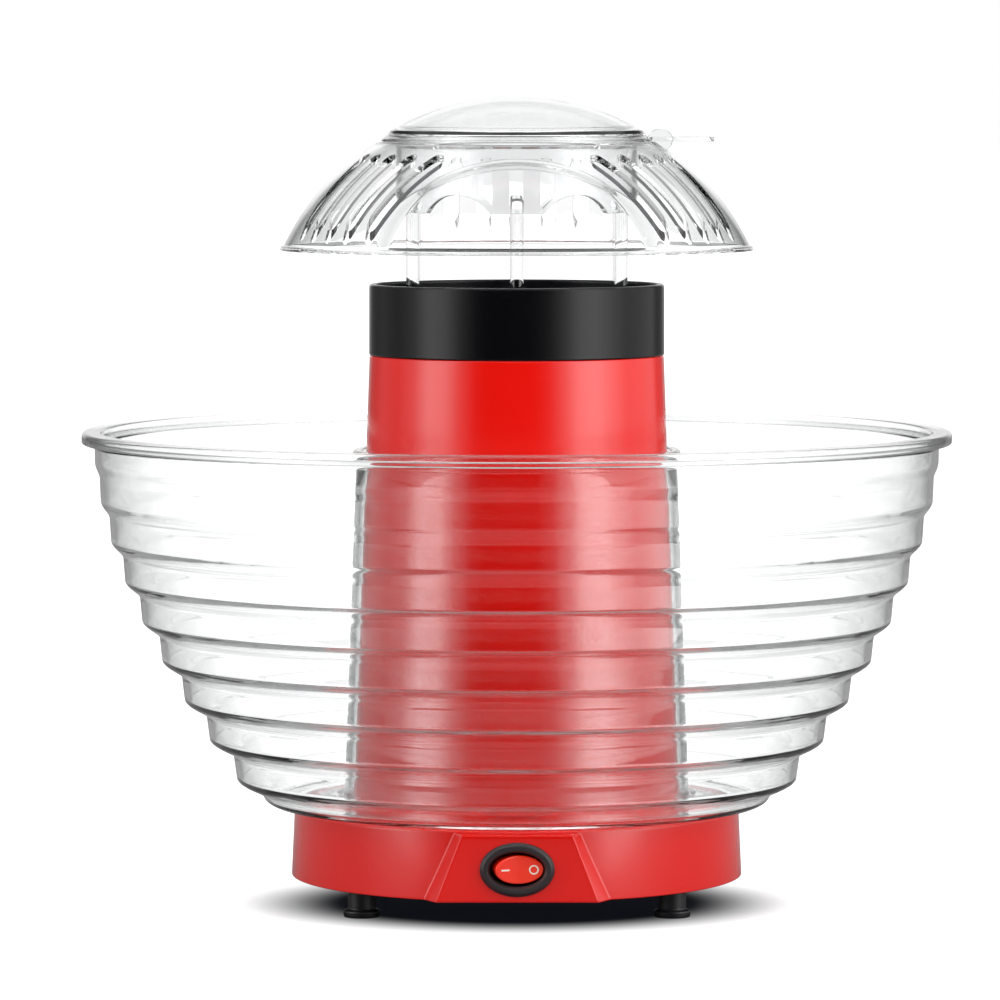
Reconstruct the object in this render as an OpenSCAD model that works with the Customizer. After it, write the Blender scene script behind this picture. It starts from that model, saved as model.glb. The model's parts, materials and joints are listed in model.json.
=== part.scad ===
// Hot-air popcorn maker with an annular bowl round its tower.
// Millimetres, +Z up. The origin is on the table, on the tower's axis; -Y is the front with the switch.

/* [Popping chamber] */
// Inside radius of the popping chamber at its mouth
chamber_r = 42.5; // [36:0.5:52]
// Depth of the chamber from its flange to the rim of its floor
chamber_depth = 72; // [60:1:88]
// Sheet thickness of the chamber
chamber_t = 0.8; // [0.5:0.1:1.5]
// Number of air louvres round the foot of the chamber
louvre_n = 20; // [12:1:28]

/* [Air duct and tower] */
// Gap from the chamber's inside radius to the duct's inside radius
duct_gap = 6.7; // [5.5:0.1:9]
// Sheet thickness of the steel duct
duct_t = 0.8; // [0.5:0.1:1.5]
// Gap from the duct to the inside of the tower at its top
tower_gap = 5; // [4.5:0.1:9]
// Wall of the tower
tower_wall = 2.5; // [1.8:0.1:3.5]
// Height of the tower from the deck to the black ring
tower_h = 177; // [160:1:220]
// Draft of the tower: growth of its radius per millimetre of height, going down
tower_draft = 0.036; // [0.01:0.002:0.05]

/* [Top ring] */
// Height of the black ring above the tower
ring_h = 27.7; // [22:0.1:40]
// Wall of the black ring
ring_wall = 2.2; // [1.6:0.1:3]
// Depth of the ledge below the top of the ring
ledge_depth = 13.2; // [9:0.1:14]

/* [Base] */
// Width of the deck from the foot of the tower to the edge of the base
deck_w = 23.3; // [20:0.1:40]
// Height of the base skirt
base_h = 27; // [25:0.5:40]
// Wall of the base skirt and deck
base_wall = 2.5; // [2:0.1:3.5]
// Growth of the skirt's radius from the deck to its lower edge
base_flare = 1.2; // [0.4:0.1:3]
// Height of the feet
foot_h = 10.5; // [8:0.5:20]
// Radius of a foot's post
foot_r = 5.3; // [4.6:0.1:6.5]
// Radius of a foot's pad
foot_pad_r = 7.1; // [6.6:0.1:8]

/* [Bowl] */
// Outside radius of the bowl's rim
rim_r = 170; // [150:1:205]
// Height of the bowl from the deck to the top of its rim
bowl_h = 147.5; // [120:0.5:160]
// Wall of the bowl
bowl_wall = 2.4; // [1.8:0.1:3.2]
// Number of steps moulded in the bowl's wall
tier_n = 9; // [6:1:11]
// Height of the bowl's neck above the deck
neck_h = 140; // [100:1:150]
// Gap between the neck and the tower
neck_gap = 1.6; // [0.8:0.1:3]

/* [Hood] */
// Outside radius of the hood's rim
hood_r = 92.1; // [84:0.1:112]
// Height of the hood's rim above the black ring
hood_clear = 13.2; // [8:0.1:20]
// Height of the hood from its rim to its top plate
hood_h = 42.2; // [38:0.1:52]
// Outside radius of the hood's flat top
hood_top_r = 54; // [52:0.1:60]
// Wall of the hood
hood_wall = 2.2; // [1.6:0.1:3]
// Depth of the arched panels below the hood's surface
panel_depth = 0.9; // [0.4:0.1:1.1]
// Number of vent slots in each of the three groups
slot_n = 5; // [3:1:5]
// Width of a vent slot
slot_w = 6; // [3:0.5:7]
// Radius of a leg
leg_r = 2.5; // [2:0.1:3]
// Height of the legs' flats above the black ring
leg_clear = 28; // [20:0.5:32]

/* [Measuring cup] */
// Height of the cup's dome above its brim
cup_dome_h = 12.8; // [8:0.1:25]
// Height of the cup's flared brim
brim_h = 4.85; // [4:0.05:8]
// Sheet thickness of the cup
cup_wall = 1.6; // [1:0.1:2.5]
// Reach of the cup's handle past the brim
handle_reach = 24.2; // [15:0.1:45]
// Width of the cup's handle at its root
handle_w = 14; // [11:0.5:20]

/* [Blower] */
// Height of the fan housing's spider above the deck
spider_rise = 10.5; // [8:0.5:14]
// Length of the motor
motor_len = 29; // [22:0.5:29]
// Radius of the motor
motor_r = 13.9; // [11:0.1:15]
// Number of fan blades
blade_n = 9; // [5:1:11]

/* [Switch] */
// Half length of the switch's oval flange
switch_a = 14.2; // [12:0.1:17]
// Half height of the switch's oval flange
switch_b = 10.3; // [9:0.1:11]
// Tilt of the rocker to each side
rocker_tilt = 12; // [8:0.5:13]

/* [Hidden] */
$fn = 96;

// Clearances
seat = 0.05;          // two flat faces that rest on each other
fit_gap = 0.4;        // loose parts beside each other
cut = 1;              // how far a cutting shape runs past the wall it cuts

// Heights, from the table up
deck_z = foot_h + base_h;
deck_under = deck_z - base_wall;
tower_top_z = deck_z + tower_h;
ring_top_z = tower_top_z + ring_h;
ledge_z = ring_top_z - ledge_depth;

// Radii, from the axis out
chamber_out = chamber_r + chamber_t;
duct_in = chamber_r + duct_gap;
duct_out = duct_in + duct_t;
tower_in = duct_out + tower_gap;
tower_r = tower_in + tower_wall;
function tower_at(z) = tower_r + tower_draft * (tower_top_z - z);
deck_r = tower_at(deck_z) + deck_w;
base_r = deck_r + base_flare;
base_in = base_r - base_wall;

// Screws
pilot_r = 1.2;        // screw shank and the pilot hole it cuts its thread in
clear_r = 1.7;        // clearance hole for a shank
head_r = 3;
head_h = 1.9;

// Black ring
ledge_t = 2;
ring_lip = 1.4;       // radius of the ring's rounded top edge
ring_foot = 2.5;      // thickness of the ring where it stands on the tower
spigot_h = 8.5;
spigot_wall = 2;
spigot_r = tower_in - 0.2;
throat_r = chamber_r + 0.1;

// Legs and their sockets
leg_n = 6;
leg_circle = chamber_r + leg_r + 1.6;
socket_r = leg_r + 0.3;
socket_wall = 1.6;
socket_depth = 7.5;
socket_floor = 1.5;
leg_foot_z = ledge_z - socket_depth;

// Chamber mouth, under the sockets
gasket_t = 1.4;
chamber_top_z = leg_foot_z - socket_floor - gasket_t;
flange_r = spigot_r - spigot_wall - 1.3;
chamber_foot_z = chamber_top_z - chamber_depth;
clamp_n = 3;
clamp_circle = leg_circle + 0.4;
clamp_boss_r = 3.7;

// Tower bosses and the screws that clamp the fan housing, deck and tower together
boss_n = 4;
boss_r = 3.4;
boss_h = 22;
boss_circle = duct_out + 1 + boss_r;
deck_hole = duct_out + 1;
lip_wall = 1.6;
lip_h = 3;
lip_r = tower_at(deck_z) - tower_wall - 0.35;

// Cover posts and feet
post_r = 4;
post_angles = [0, 70, 110, 180, 250, 290];
post_circle = base_in - post_r - 8;
cover_t = 2;
cover_r = base_in - fit_gap;
foot_circle = base_in - foot_pad_r - 0.7;
foot_angle = 40;
foot_angles = [180 + foot_angle, -foot_angle, 180 - foot_angle, foot_angle];
foot_pad_h = 2.6;
foot_boss_r = 3.6;
foot_boss_h = 7;
grille_r = 40;
grille_pitch = 7;
grille_slot = 3;

// Front panel of the base
panel_y = base_r + 0.9;
panel_top_half = 21;
panel_low_half = 31;
panel_bevel = 5;
panel_back = 9.5;
panel_drop = 1.2;
switch_z = foot_h + base_h * 0.47;

// Switch, in its own frame: X along the oval, Y up, Z out of the panel
flange_t = 2.2;
barrel_depth = 14;
barrel_inset = 1.9;
well_inset = 3.9;
well_depth = 11;
well_lip = 1.4;
rocker_gap = 0.95;
pivot_z = -2.5;
pivot_r = 1;
rocker_face = 0.4;
rocker_root = 3;

// Cord gland at the back
gland_z = foot_h + base_h * 0.45;
gland_bore = 3.6;
gland_r = 5;
gland_flange_r = 6.8;
gland_flange_t = 2;
gland_pad_r = 8.4;
gland_y = base_r + 0.6;
gland_wall = 5;
nut_t = 2.2;

// Fan housing, motor and rotor
housing_in = duct_in - 0.6;
housing_out = duct_out + 0.4;
housing_flange_r = boss_circle + boss_r + 2;
housing_flange_t = 2.4;
housing_top_z = deck_z + 46.5;
spider_z = deck_z + spider_rise;
spider_t = 2.5;
motor_base_z = spider_z - motor_len;
motor_cap_h = 2.5;
bush_r = 3;
bush_len = 6;
shaft_r = 1.15;
shaft_clear = 0.05;
shaft_top_z = spider_z + 22;
fan_z = spider_z + 7;
fan_h = 12;
fan_r = housing_in - 2;
hub_r = 9;
motor_screw_x = 8;

// Heater
mica_t = 1;
mica_h = 24;
mica_r = (housing_in + duct_in) / 2;
coil_wire = 1.8;
coil_start = 12;
coil_step = 3.5;
coil_turns = 7;

// Bowl
rim_w = 5;
rim_depth = 4.6;
rim_t = 2;
tier_pitch = (bowl_h - 7) / tier_n;
tier_first = tier_pitch / 2;
tier_amount = 0.8;
riser_share = 0.42;
bowl_foot_r = deck_r - 1.2;
// the bowl's tight lower corner, outside and inside, as shares of its width and height
bowl_corner_out = [[0, 0], [0.44, 0.23], [0.82, 0.41], [0.94, 0.66]];
bowl_corner_in = [[0.61, 0.52], [0.29, 0.27], [-0.07, 0]];
bowl_top_r = rim_r - rim_w;
bowl_low_r = deck_r + 11.8;
bowl_curve = 1.65;
neck_wall = 2.2;
neck_bead = 1.6;
neck_bead_h = 5;

// Hood
hood_z = ring_top_z + hood_clear;
hood_top_z = hood_z + hood_h;
hood_bend = 93;
hood_hole = leg_circle - 1.4;
collar_r = hood_hole + 1.8;
collar_h = 2.9;
rim_bead = 0.6;
rim_bead_h = 1.6;
arch_half = 53.5;
arch_h = 36;
arch_angles = [-90, 30, 150];
// each group of slots: the way its slots point, how far to one side its middle lies, and its pitch
slot_groups = [[201.5, 20.1, slot_w + 4.4], [338.5, -20.1, slot_w + 4.4], [90, 0, slot_w + 7.1]];
slot_from_top = 4.5;
slot_from_rim = 8.5;
cage_in = leg_circle - 1.4;
cage_out = leg_circle + 0.8;
cage_z = ring_top_z + leg_clear;
scallop_chord = 28;
scallop_rise = 7;

// Measuring cup
cup_z = hood_top_z + seat;
brim_r = hood_top_r - 1.2;
brim_flare = 4.8;
cup_r = brim_r - brim_flare;
handle_t = 1.7;
handle_tip_r = 5.5;
web_half = [5, 4.4];
web_t = 3;
web_x = brim_r + 3.2;
web_notch = 0.6;

// ---- shared shapes ----

function arc(c, r, from, to, n) = [
    for (i = [0:n])
        let (a = from + (to - from) * i / n)
        [c[0] + r * cos(a), c[1] + r * sin(a)]
];

function oval(a, b, n = 56) = [
    for (i = [0:n - 1])
        [a * cos(360 * i / n), b * sin(360 * i / n)]
];

// The centre of the circle of radius r through p and q that bulges to the right of p to q
function bend_centre(p, q, r) =
    let (m = (p + q) / 2, d = q - p, half = norm(d) / 2, n = [-d[1], d[0]] / norm(d))
    m + n * sqrt(r * r - half * half);

function heading(c, p) = atan2(p[1] - c[1], p[0] - c[0]);

module turned(points) {
    rotate_extrude() polygon(points);
}

module pipe(inside, outside, from, to) {
    translate([0, 0, from]) difference() {
        cylinder(r = outside, h = to - from);
        translate([0, 0, -cut]) cylinder(r = inside, h = to - from + 2 * cut);
    }
}

module around(n, radius, first = 0) {
    for (i = [0:n - 1])
        rotate([0, 0, first + 360 * i / n]) translate([radius, 0, 0]) children();
}

module at_angles(angles, radius) {
    for (a = angles) rotate([0, 0, a]) translate([radius, 0, 0]) children();
}

// A screw that points up: its head hangs under z = 0
module screw(length) {
    difference() {
        union() {
            cylinder(r = pilot_r, h = length);
            translate([0, 0, -head_h]) cylinder(r = head_r, h = head_h);
        }
        for (turn = [0, 90])
            rotate([0, 0, turn]) translate([-2, -0.4, -head_h - cut]) cube([4, 0.8, cut + 1]);
    }
}

// ---- swept wires ----

function unit(v) = v / norm(v);

function catmull(a, b, c, d, t) =
    0.5 * (2 * b + (c - a) * t + (2 * a - 5 * b + 4 * c - d) * t * t
        + (3 * b - a - 3 * c + d) * t * t * t);

function smooth_path(p, steps) =
    let (last = len(p) - 1)
    concat([
        for (i = [0:last - 1], s = [0:steps - 1])
            catmull(p[max(i - 1, 0)], p[i], p[i + 1], p[min(i + 2, last)], s / steps)
    ], [p[last]]);

function tangent(p, i) = unit(p[min(i + 1, len(p) - 1)] - p[max(i - 1, 0)]);

// Side vectors carried along the path without twist
function sides(p, i, prev) =
    i >= len(p) ? [] :
    let (t = tangent(p, i), s = unit(prev - t * (prev * t)))
    concat([s], sides(p, i + 1, s));

module wire(points, r, facets = 8, steps = 5) {
    p = smooth_path(points, steps);
    first = tangent(p, 0);
    side = sides(p, 0, abs(first[2]) > 0.9 ? [1, 0, 0] : [0, 0, 1]);
    rings = len(p);
    verts = [
        for (i = [0:rings - 1], k = [0:facets - 1])
            let (t = tangent(p, i), u = side[i], v = cross(t, u), a = 360 * k / facets)
            p[i] + r * (cos(a) * u + sin(a) * v)
    ];
    walls = [
        for (i = [0:rings - 2], k = [0:facets - 1])
            let (a = i * facets + k, b = i * facets + (k + 1) % facets)
            [a, a + facets, b + facets, b]
    ];
    caps = [
        [for (k = [0:facets - 1]) k],
        [for (k = [facets - 1:-1:0]) (rings - 1) * facets + k]
    ];
    polyhedron(verts, concat(walls, caps), convexity = 8);
}

// ---- base ----

module on_panel() {
    translate([0, -panel_y, switch_z]) rotate([90, 0, 0]) children();
}

module panel_block() {
    low = foot_h;
    high = deck_z - panel_drop;
    back = -(panel_y - panel_back);
    face = [[-panel_low_half, low], [panel_low_half, low], [panel_top_half, high], [-panel_top_half, high]];
    wide_low = panel_low_half + panel_bevel;
    wide_top = panel_top_half + panel_bevel;
    root = [[-wide_low, low], [wide_low, low], [wide_top, high], [-wide_top, high]];
    polyhedron(
        concat([for (p = face) [p[0], -panel_y, p[1]]], [for (p = root) [p[0], back, p[1]]]),
        [[3, 2, 1, 0], [4, 5, 6, 7], [0, 1, 5, 4], [1, 2, 6, 5], [2, 3, 7, 6], [3, 0, 4, 7]]
    );
}

module gland_pad() {
    translate([0, gland_y, gland_z]) rotate([90, 0, 0]) cylinder(r = gland_pad_r, h = gland_wall);
}

module base_shell() {
    edge = 1;
    color("#d8121a") difference() {
        union() {
            difference() {
                turned(concat(
                    [[0, foot_h], [base_r, foot_h]],
                    arc([deck_r - edge, deck_z - edge], edge, 0, 90, 4),
                    [[0, deck_z]]
                ));
                turned([[0, foot_h - cut], [base_in, foot_h - cut], [base_in, foot_h],
                    [deck_r - base_wall, deck_under], [0, deck_under]]);
            }
            difference() {
                union() {
                    panel_block();
                    gland_pad();
                }
                cylinder(r = base_in - 3, h = deck_z);
            }
            intersection() {
                at_angles(post_angles, post_circle)
                    translate([0, 0, foot_h + cover_t + seat]) cylinder(r = post_r, h = base_h - cover_t - cut);
                cylinder(r = base_r, h = deck_z - base_wall / 2);
            }
            pipe(lip_r - lip_wall, lip_r, deck_z - cut, deck_z + lip_h);
        }
        translate([0, 0, foot_h]) cylinder(r = deck_hole, h = base_h + cut);
        at_angles(post_angles, post_circle) cylinder(r = pilot_r, h = foot_h + 17);
        around(boss_n, boss_circle, 45) translate([0, 0, foot_h]) cylinder(r = clear_r, h = base_h + cut);
        on_panel() translate([0, 0, -panel_back])
            linear_extrude(panel_back + cut) polygon(oval(switch_a - barrel_inset + 0.2, switch_b - barrel_inset + 0.2));
        translate([0, gland_y + cut, gland_z]) rotate([90, 0, 0]) cylinder(r = gland_r + seat, h = gland_wall + 3);
    }
}

module bottom_cover() {
    bars = floor((grille_r - grille_slot) / grille_pitch);
    color("#18181a") difference() {
        union() {
            translate([0, 0, foot_h]) cylinder(r = cover_r, h = cover_t);
            at_angles(foot_angles, foot_circle)
                translate([0, 0, foot_h]) cylinder(r = foot_boss_r, h = cover_t + foot_boss_h);
        }
        for (i = [-bars:bars]) {
            half = sqrt(pow(grille_r, 2) - pow(i * grille_pitch, 2));
            translate([i * grille_pitch - grille_slot / 2, -half, foot_h - cut])
                cube([grille_slot, 2 * half, cover_t + 2 * cut]);
        }
        at_angles(post_angles, post_circle) cylinder(r = clear_r, h = deck_z);
        at_angles(foot_angles, foot_circle) cylinder(r = pilot_r, h = foot_h + cover_t + foot_boss_h - cut);
        gland_corner();
    }
}

// Room in the cover beside the gland's boss and the panel's block
module gland_corner() {
    translate([-gland_pad_r - 1, base_in - 6, 0]) cube([2 * gland_pad_r + 2, 12, deck_z]);
    translate([-panel_low_half - 6, -panel_y, 0]) cube([2 * panel_low_half + 12, panel_back + 4, deck_z]);
}

module foot(index) {
    recess_r = head_r + 0.5;
    recess_h = foot_h / 2;
    color("#0d0d0f") rotate([0, 0, foot_angles[index]]) translate([foot_circle, 0, 0]) difference() {
        turned([[0, 0], [foot_pad_r - 0.6, 0], [foot_pad_r, 0.6], [foot_pad_r, foot_pad_h - 0.5],
            [foot_pad_r - 0.6, foot_pad_h], [foot_r, foot_pad_h + 0.5], [foot_r, foot_h - seat], [0, foot_h - seat]]);
        translate([0, 0, -cut]) cylinder(r = recess_r, h = recess_h + cut);
        cylinder(r = clear_r, h = foot_h + cut);
    }
}

module foot_screws() {
    color("#b9babd") at_angles(foot_angles, foot_circle)
        translate([0, 0, foot_h / 2]) screw(foot_h / 2 + cover_t + foot_boss_h - 2.5);
}

module cover_screws() {
    color("#b9babd") at_angles(post_angles, post_circle)
        translate([0, 0, foot_h]) screw(15);
}

module tower_screws() {
    under = deck_under - housing_flange_t;
    color("#b9babd") around(boss_n, boss_circle, 45)
        translate([0, 0, under]) screw(housing_flange_t + base_wall + boss_h * 0.6);
}

// ---- tower ----

module tower_shell() {
    low = deck_z + seat;
    rib_z = low + lip_h + 1.2;
    rib_h = boss_h - lip_h - 1.2;
    color("#d8121a") difference() {
        union() {
            turned([[tower_at(low) - tower_wall, low], [tower_at(low), low],
                [tower_r + 0.05, tower_top_z - 1], [tower_r - 0.7, tower_top_z - seat],
                [tower_in, tower_top_z - seat]]);
            intersection() {
                union() {
                    around(boss_n, boss_circle, 45) translate([0, 0, low]) cylinder(r = boss_r, h = boss_h);
                    for (i = [0:boss_n - 1]) rotate([0, 0, 45 + 90 * i])
                        translate([boss_circle, -1, rib_z]) cube([12, 2, rib_h]);
                }
                turned([[0, low], [tower_at(low) - 1, low], [tower_r - 1, tower_top_z], [0, tower_top_z]]);
            }
        }
        around(boss_n, boss_circle, 45) translate([0, 0, low - cut]) cylinder(r = pilot_r, h = boss_h - 2 + cut);
    }
}

module top_ring() {
    foot_z = tower_top_z;
    wall_in = tower_r - ring_wall;
    ledge_low = ledge_z - ledge_t;
    color("#101012") difference() {
        union() {
            turned(concat(
                [[spigot_r - spigot_wall, foot_z - spigot_h], [spigot_r, foot_z - spigot_h], [spigot_r, foot_z],
                    [tower_r + 0.2, foot_z]],
                arc([tower_r + 0.2 - ring_lip, ring_top_z - ring_lip], ring_lip, 0, 90, 5),
                [[wall_in + 0.5, ring_top_z], [wall_in, ring_top_z - 0.8], [wall_in, ledge_z],
                    [throat_r, ledge_z], [throat_r, leg_foot_z - socket_floor],
                    [throat_r + 1.2, leg_foot_z - socket_floor], [throat_r + 1.2, ledge_low],
                    [wall_in, ledge_low], [wall_in, foot_z + ring_foot],
                    [spigot_r - spigot_wall, foot_z + ring_foot]]
            ));
            around(leg_n, leg_circle, 30) translate([0, 0, leg_foot_z - socket_floor])
                cylinder(r = socket_r + socket_wall, h = socket_depth + socket_floor - 0.5);
            around(clamp_n, clamp_circle, 0) translate([0, 0, leg_foot_z - socket_floor])
                cylinder(r = clamp_boss_r, h = socket_depth + socket_floor - 0.5);
        }
        translate([0, 0, foot_z - spigot_h]) cylinder(r = throat_r, h = spigot_h + ring_h + cut);
        around(leg_n, leg_circle, 30) translate([0, 0, leg_foot_z]) cylinder(r = socket_r, h = socket_depth + cut);
        around(clamp_n, clamp_circle, 0) translate([0, 0, leg_foot_z - socket_floor - cut])
            cylinder(r = pilot_r, h = socket_depth + cut);
    }
}

module ring_gasket() {
    low = chamber_top_z + seat;
    color("#7d2b22") difference() {
        pipe(throat_r + 0.3, flange_r - 0.5, low, low + gasket_t - 2 * seat);
        around(clamp_n, clamp_circle, 0) translate([0, 0, low - cut]) cylinder(r = clear_r, h = gasket_t + 2 * cut);
    }
}

module chamber_screws() {
    length = chamber_t + gasket_t + 5;
    color("#b9babd") around(clamp_n, clamp_circle, 0)
        translate([0, 0, chamber_top_z - chamber_t]) screw(length);
}

module popping_chamber() {
    corner = 7;
    floor_rise = 3.5;
    louvre_h = 9;
    inner = concat(
        [[0, chamber_foot_z - corner + floor_rise]],
        arc([chamber_r - corner, chamber_foot_z], corner, -90, 0, 6),
        [[chamber_r, chamber_top_z]]
    );
    outer = concat(
        [[flange_r, chamber_top_z], [flange_r, chamber_top_z - chamber_t], [chamber_out, chamber_top_z - chamber_t]],
        arc([chamber_r - corner, chamber_foot_z], corner + chamber_t, 0, -90, 6),
        [[0, chamber_foot_z - corner + floor_rise - chamber_t]]
    );
    color("#c9cacb") difference() {
        turned(concat(inner, outer));
        around(louvre_n, chamber_r) translate([0, 0, chamber_foot_z + 2]) rotate([0, 0, 40])
            translate([-4, -0.8, 0]) cube([8, 1.6, louvre_h]);
        around(clamp_n, clamp_circle, 0) translate([0, 0, chamber_top_z - chamber_t - cut])
            cylinder(r = clear_r, h = chamber_t + 2 * cut);
    }
}

// ---- heater and blower ----

module air_duct() {
    color("#9da0a3") pipe(duct_in, duct_out, housing_top_z + seat, chamber_top_z - chamber_t - head_h - 0.3);
}

module mica_frame() {
    color("#b9a684") for (turn = [0, 90])
        rotate([0, 0, turn]) translate([-mica_r, -mica_t / 2, housing_top_z + seat]) cube([2 * mica_r, mica_t, mica_h]);
}

module heater_coil() {
    color("#8a7f78") translate([-coil_step / 2, 0, housing_top_z + seat + mica_h + coil_wire + seat])
        for (k = [0:coil_turns - 1]) {
            odd = k % 2;
            translate([odd * coil_step, 0, 0]) rotate([0, 0, 180 * odd])
                rotate_extrude(angle = 180) translate([coil_start + k * coil_step, 0]) circle(r = coil_wire);
        }
}

module thermostat() {
    body_r = 6.5;
    body_t = 3.6;
    tab = [0.8, 4.8, 6];
    z = chamber_foot_z + 12;
    color("#3a3531") rotate([0, 0, 60]) translate([duct_out + 0.1, 0, z]) {
        rotate([0, 90, 0]) cylinder(r = body_r, h = body_t);
        for (y = [-4, 4]) translate([body_t / 2, y - tab[1] / 2, body_r - 2.5]) cube([tab[0], tab[1], tab[2] + 2]);
    }
}

module thermal_fuse() {
    color("#d9d3c6") rotate([0, 0, 150]) translate([duct_out + 2, 0, chamber_foot_z]) {
        cylinder(r = 1.8, h = 11);
        translate([0, 0, -6]) cylinder(r = 0.5, h = 23);
    }
}

module fan_housing() {
    under = deck_under - seat;
    color("#1d1d20") difference() {
        union() {
            pipe(housing_in, housing_out, under - housing_flange_t, housing_top_z);
            pipe(housing_in, housing_flange_r, under - housing_flange_t + seat, under);
            translate([0, 0, spider_z]) cylinder(r = motor_r + 2, h = spider_t);
            for (a = [0, 120, 240]) rotate([0, 0, a])
                translate([motor_r, -3, spider_z]) cube([housing_in - motor_r + 0.5, 6, spider_t]);
        }
        translate([0, 0, spider_z - cut]) cylinder(r = bush_r + seat, h = spider_t + 2 * cut);
        for (x = [-motor_screw_x, motor_screw_x])
            translate([x, 0, spider_z - cut]) cylinder(r = clear_r, h = spider_t + 2 * cut);
        around(boss_n, boss_circle, 45) translate([0, 0, under - housing_flange_t - cut])
            cylinder(r = clear_r, h = housing_flange_t + 2 * cut);
    }
}

module motor_can() {
    low = motor_base_z + motor_cap_h;
    high = spider_z - seat;
    color("#8f9396") difference() {
        turned([[0, low], [motor_r, low], [motor_r, high - 1.5], [motor_r - 1.5, high], [0, high]]);
        translate([0, 0, high - bush_len + 2]) cylinder(r = bush_r, h = bush_len);
        translate([0, 0, low + 2]) cylinder(r = shaft_r + 0.6, h = motor_len);
        for (x = [-motor_screw_x, motor_screw_x])
            translate([x, 0, high - 4]) cylinder(r = pilot_r, h = 4 + cut);
    }
}

module motor_cap() {
    color("#202225") difference() {
        translate([0, 0, motor_base_z]) cylinder(r = motor_r - 0.6, h = motor_cap_h - seat);
        for (x = [-7, 7]) translate([x - 0.5, -1.6, motor_base_z - cut]) cube([1, 3.2, motor_cap_h + 2 * cut]);
    }
}

module motor_bush() {
    high = spider_z - seat;
    color("#b58a3c") pipe(shaft_r + shaft_clear, bush_r, high - bush_len + 2, high + 2);
}

module motor_screws() {
    color("#b9babd") for (x = [-motor_screw_x, motor_screw_x])
        translate([x, 0, spider_z + spider_t + seat]) rotate([180, 0, 0]) screw(spider_t + 3);
}

module rectifier_board() {
    z = motor_base_z - 3;
    color("#2f6b3a") difference() {
        translate([0, 0, z]) cylinder(r = motor_r - 0.4, h = 1.6);
        for (x = [-7, 7]) translate([x - 0.6, -1.8, z - cut]) cube([1.2, 3.6, 4]);
    }
}

module diodes() {
    z = motor_base_z - 3;
    color("#141414") for (y = [-9, -4.5, 4.5, 9])
        translate([-3, y, z - 1.3 - seat]) rotate([0, 90, 0]) cylinder(r = 1.3, h = 6);
}

module motor_shaft() {
    color("#d4d6d8") translate([0, 0, motor_base_z + motor_cap_h + 3])
        cylinder(r = shaft_r, h = shaft_top_z - motor_base_z - motor_cap_h - 3);
}

module fan_impeller() {
    blade_pitch = 32;
    chord = 17;
    blade_t = 1.2;
    color("#a8abae") difference() {
        union() {
            translate([0, 0, fan_z]) cylinder(r = hub_r, h = fan_h);
            intersection() {
                translate([0, 0, fan_z]) pipe(hub_r - 2, fan_r, 0, fan_h);
                around(blade_n, hub_r - 1) translate([0, 0, fan_z + fan_h / 2]) rotate([blade_pitch, 0, 0])
                    translate([0, -chord / 2, -blade_t / 2]) cube([fan_r, chord, blade_t]);
            }
        }
        translate([0, 0, fan_z - cut]) cylinder(r = shaft_r, h = fan_h + 2 * cut);
    }
}

// ---- switch ----

module switch_housing() {
    a = switch_a;
    b = switch_b;
    color("#1a1a1c") on_panel() difference() {
        union() {
            translate([0, 0, seat]) linear_extrude(flange_t * 0.55) polygon(oval(a, b));
            translate([0, 0, seat]) linear_extrude(flange_t) polygon(oval(a - 0.9, b - 0.9));
            translate([0, 0, -barrel_depth])
                linear_extrude(barrel_depth + flange_t / 2) polygon(oval(a - barrel_inset, b - barrel_inset));
        }
        translate([0, 0, -well_depth])
            linear_extrude(well_depth + flange_t + cut) polygon(oval(a - well_inset, b - well_inset));
        translate([0, 0, flange_t - well_lip + seat])
            linear_extrude(well_lip + cut) polygon(oval(a - well_inset + 1, b - well_inset + 1));
        translate([0, 0, pivot_z]) rotate([90, 0, 0]) cylinder(r = pivot_r + shaft_clear, h = 3 * b, center = true);
        translate([0, 0, -barrel_depth]) for (x = [-7, 0, 7]) translate([x, 0, 0]) cube([0.8, 6.3, 12], center = true);
    }
}

module switch_terminals() {
    color("#c79a3f") on_panel() for (x = [-7, 0, 7])
        translate([x, 0, -barrel_depth - 0.8]) cube([0.76, 6.26, 9], center = true);
}

module switch_rocker() {
    a = switch_a - well_inset - rocker_gap;
    b = switch_b - well_inset - rocker_gap;
    rise = a * tan(rocker_tilt);
    low = pivot_z - rocker_root;
    color("#e8200c") on_panel() translate([0, 0, pivot_z]) rotate([0, rocker_tilt, 0]) translate([0, 0, -pivot_z])
        union() {
            intersection() {
                translate([0, 0, low]) linear_extrude(3 * rise - low) polygon(oval(a, b));
                rotate([90, 0, 0]) translate([0, 0, -2 * b]) linear_extrude(4 * b)
                    polygon([[-2 * a, low], [2 * a, low], [2 * a, rocker_face + 2 * rise], [a, rocker_face + rise],
                        [0, rocker_face], [-a, rocker_face + rise], [-2 * a, rocker_face + 2 * rise]]);
            }
            translate([0, 0, pivot_z]) rotate([90, 0, 0])
                cylinder(r = pivot_r, h = 2 * (b + rocker_gap + 1.4), center = true);
        }
}

// ---- cord gland and wiring ----

module cord_gland() {
    color("#141416") translate([0, gland_y, gland_z]) rotate([-90, 0, 0]) difference() {
        union() {
            translate([0, 0, seat]) cylinder(r1 = gland_flange_r, r2 = gland_flange_r - 0.8, h = gland_flange_t);
            translate([0, 0, -gland_wall - nut_t]) cylinder(r = gland_r, h = gland_wall + nut_t + cut);
        }
        translate([0, 0, -gland_wall - nut_t - cut]) cylinder(r = gland_bore, h = gland_wall + nut_t + gland_flange_t + 3);
    }
}

module gland_nut() {
    color("#2a2a2d") translate([0, gland_y - gland_wall - seat, gland_z]) rotate([90, 0, 0]) difference() {
        cylinder(r = gland_r + 2.6, h = nut_t - 2 * seat, $fn = 6);
        translate([0, 0, -cut]) cylinder(r = gland_r + 0.02, h = nut_t + 2 * cut);
    }
}

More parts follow.
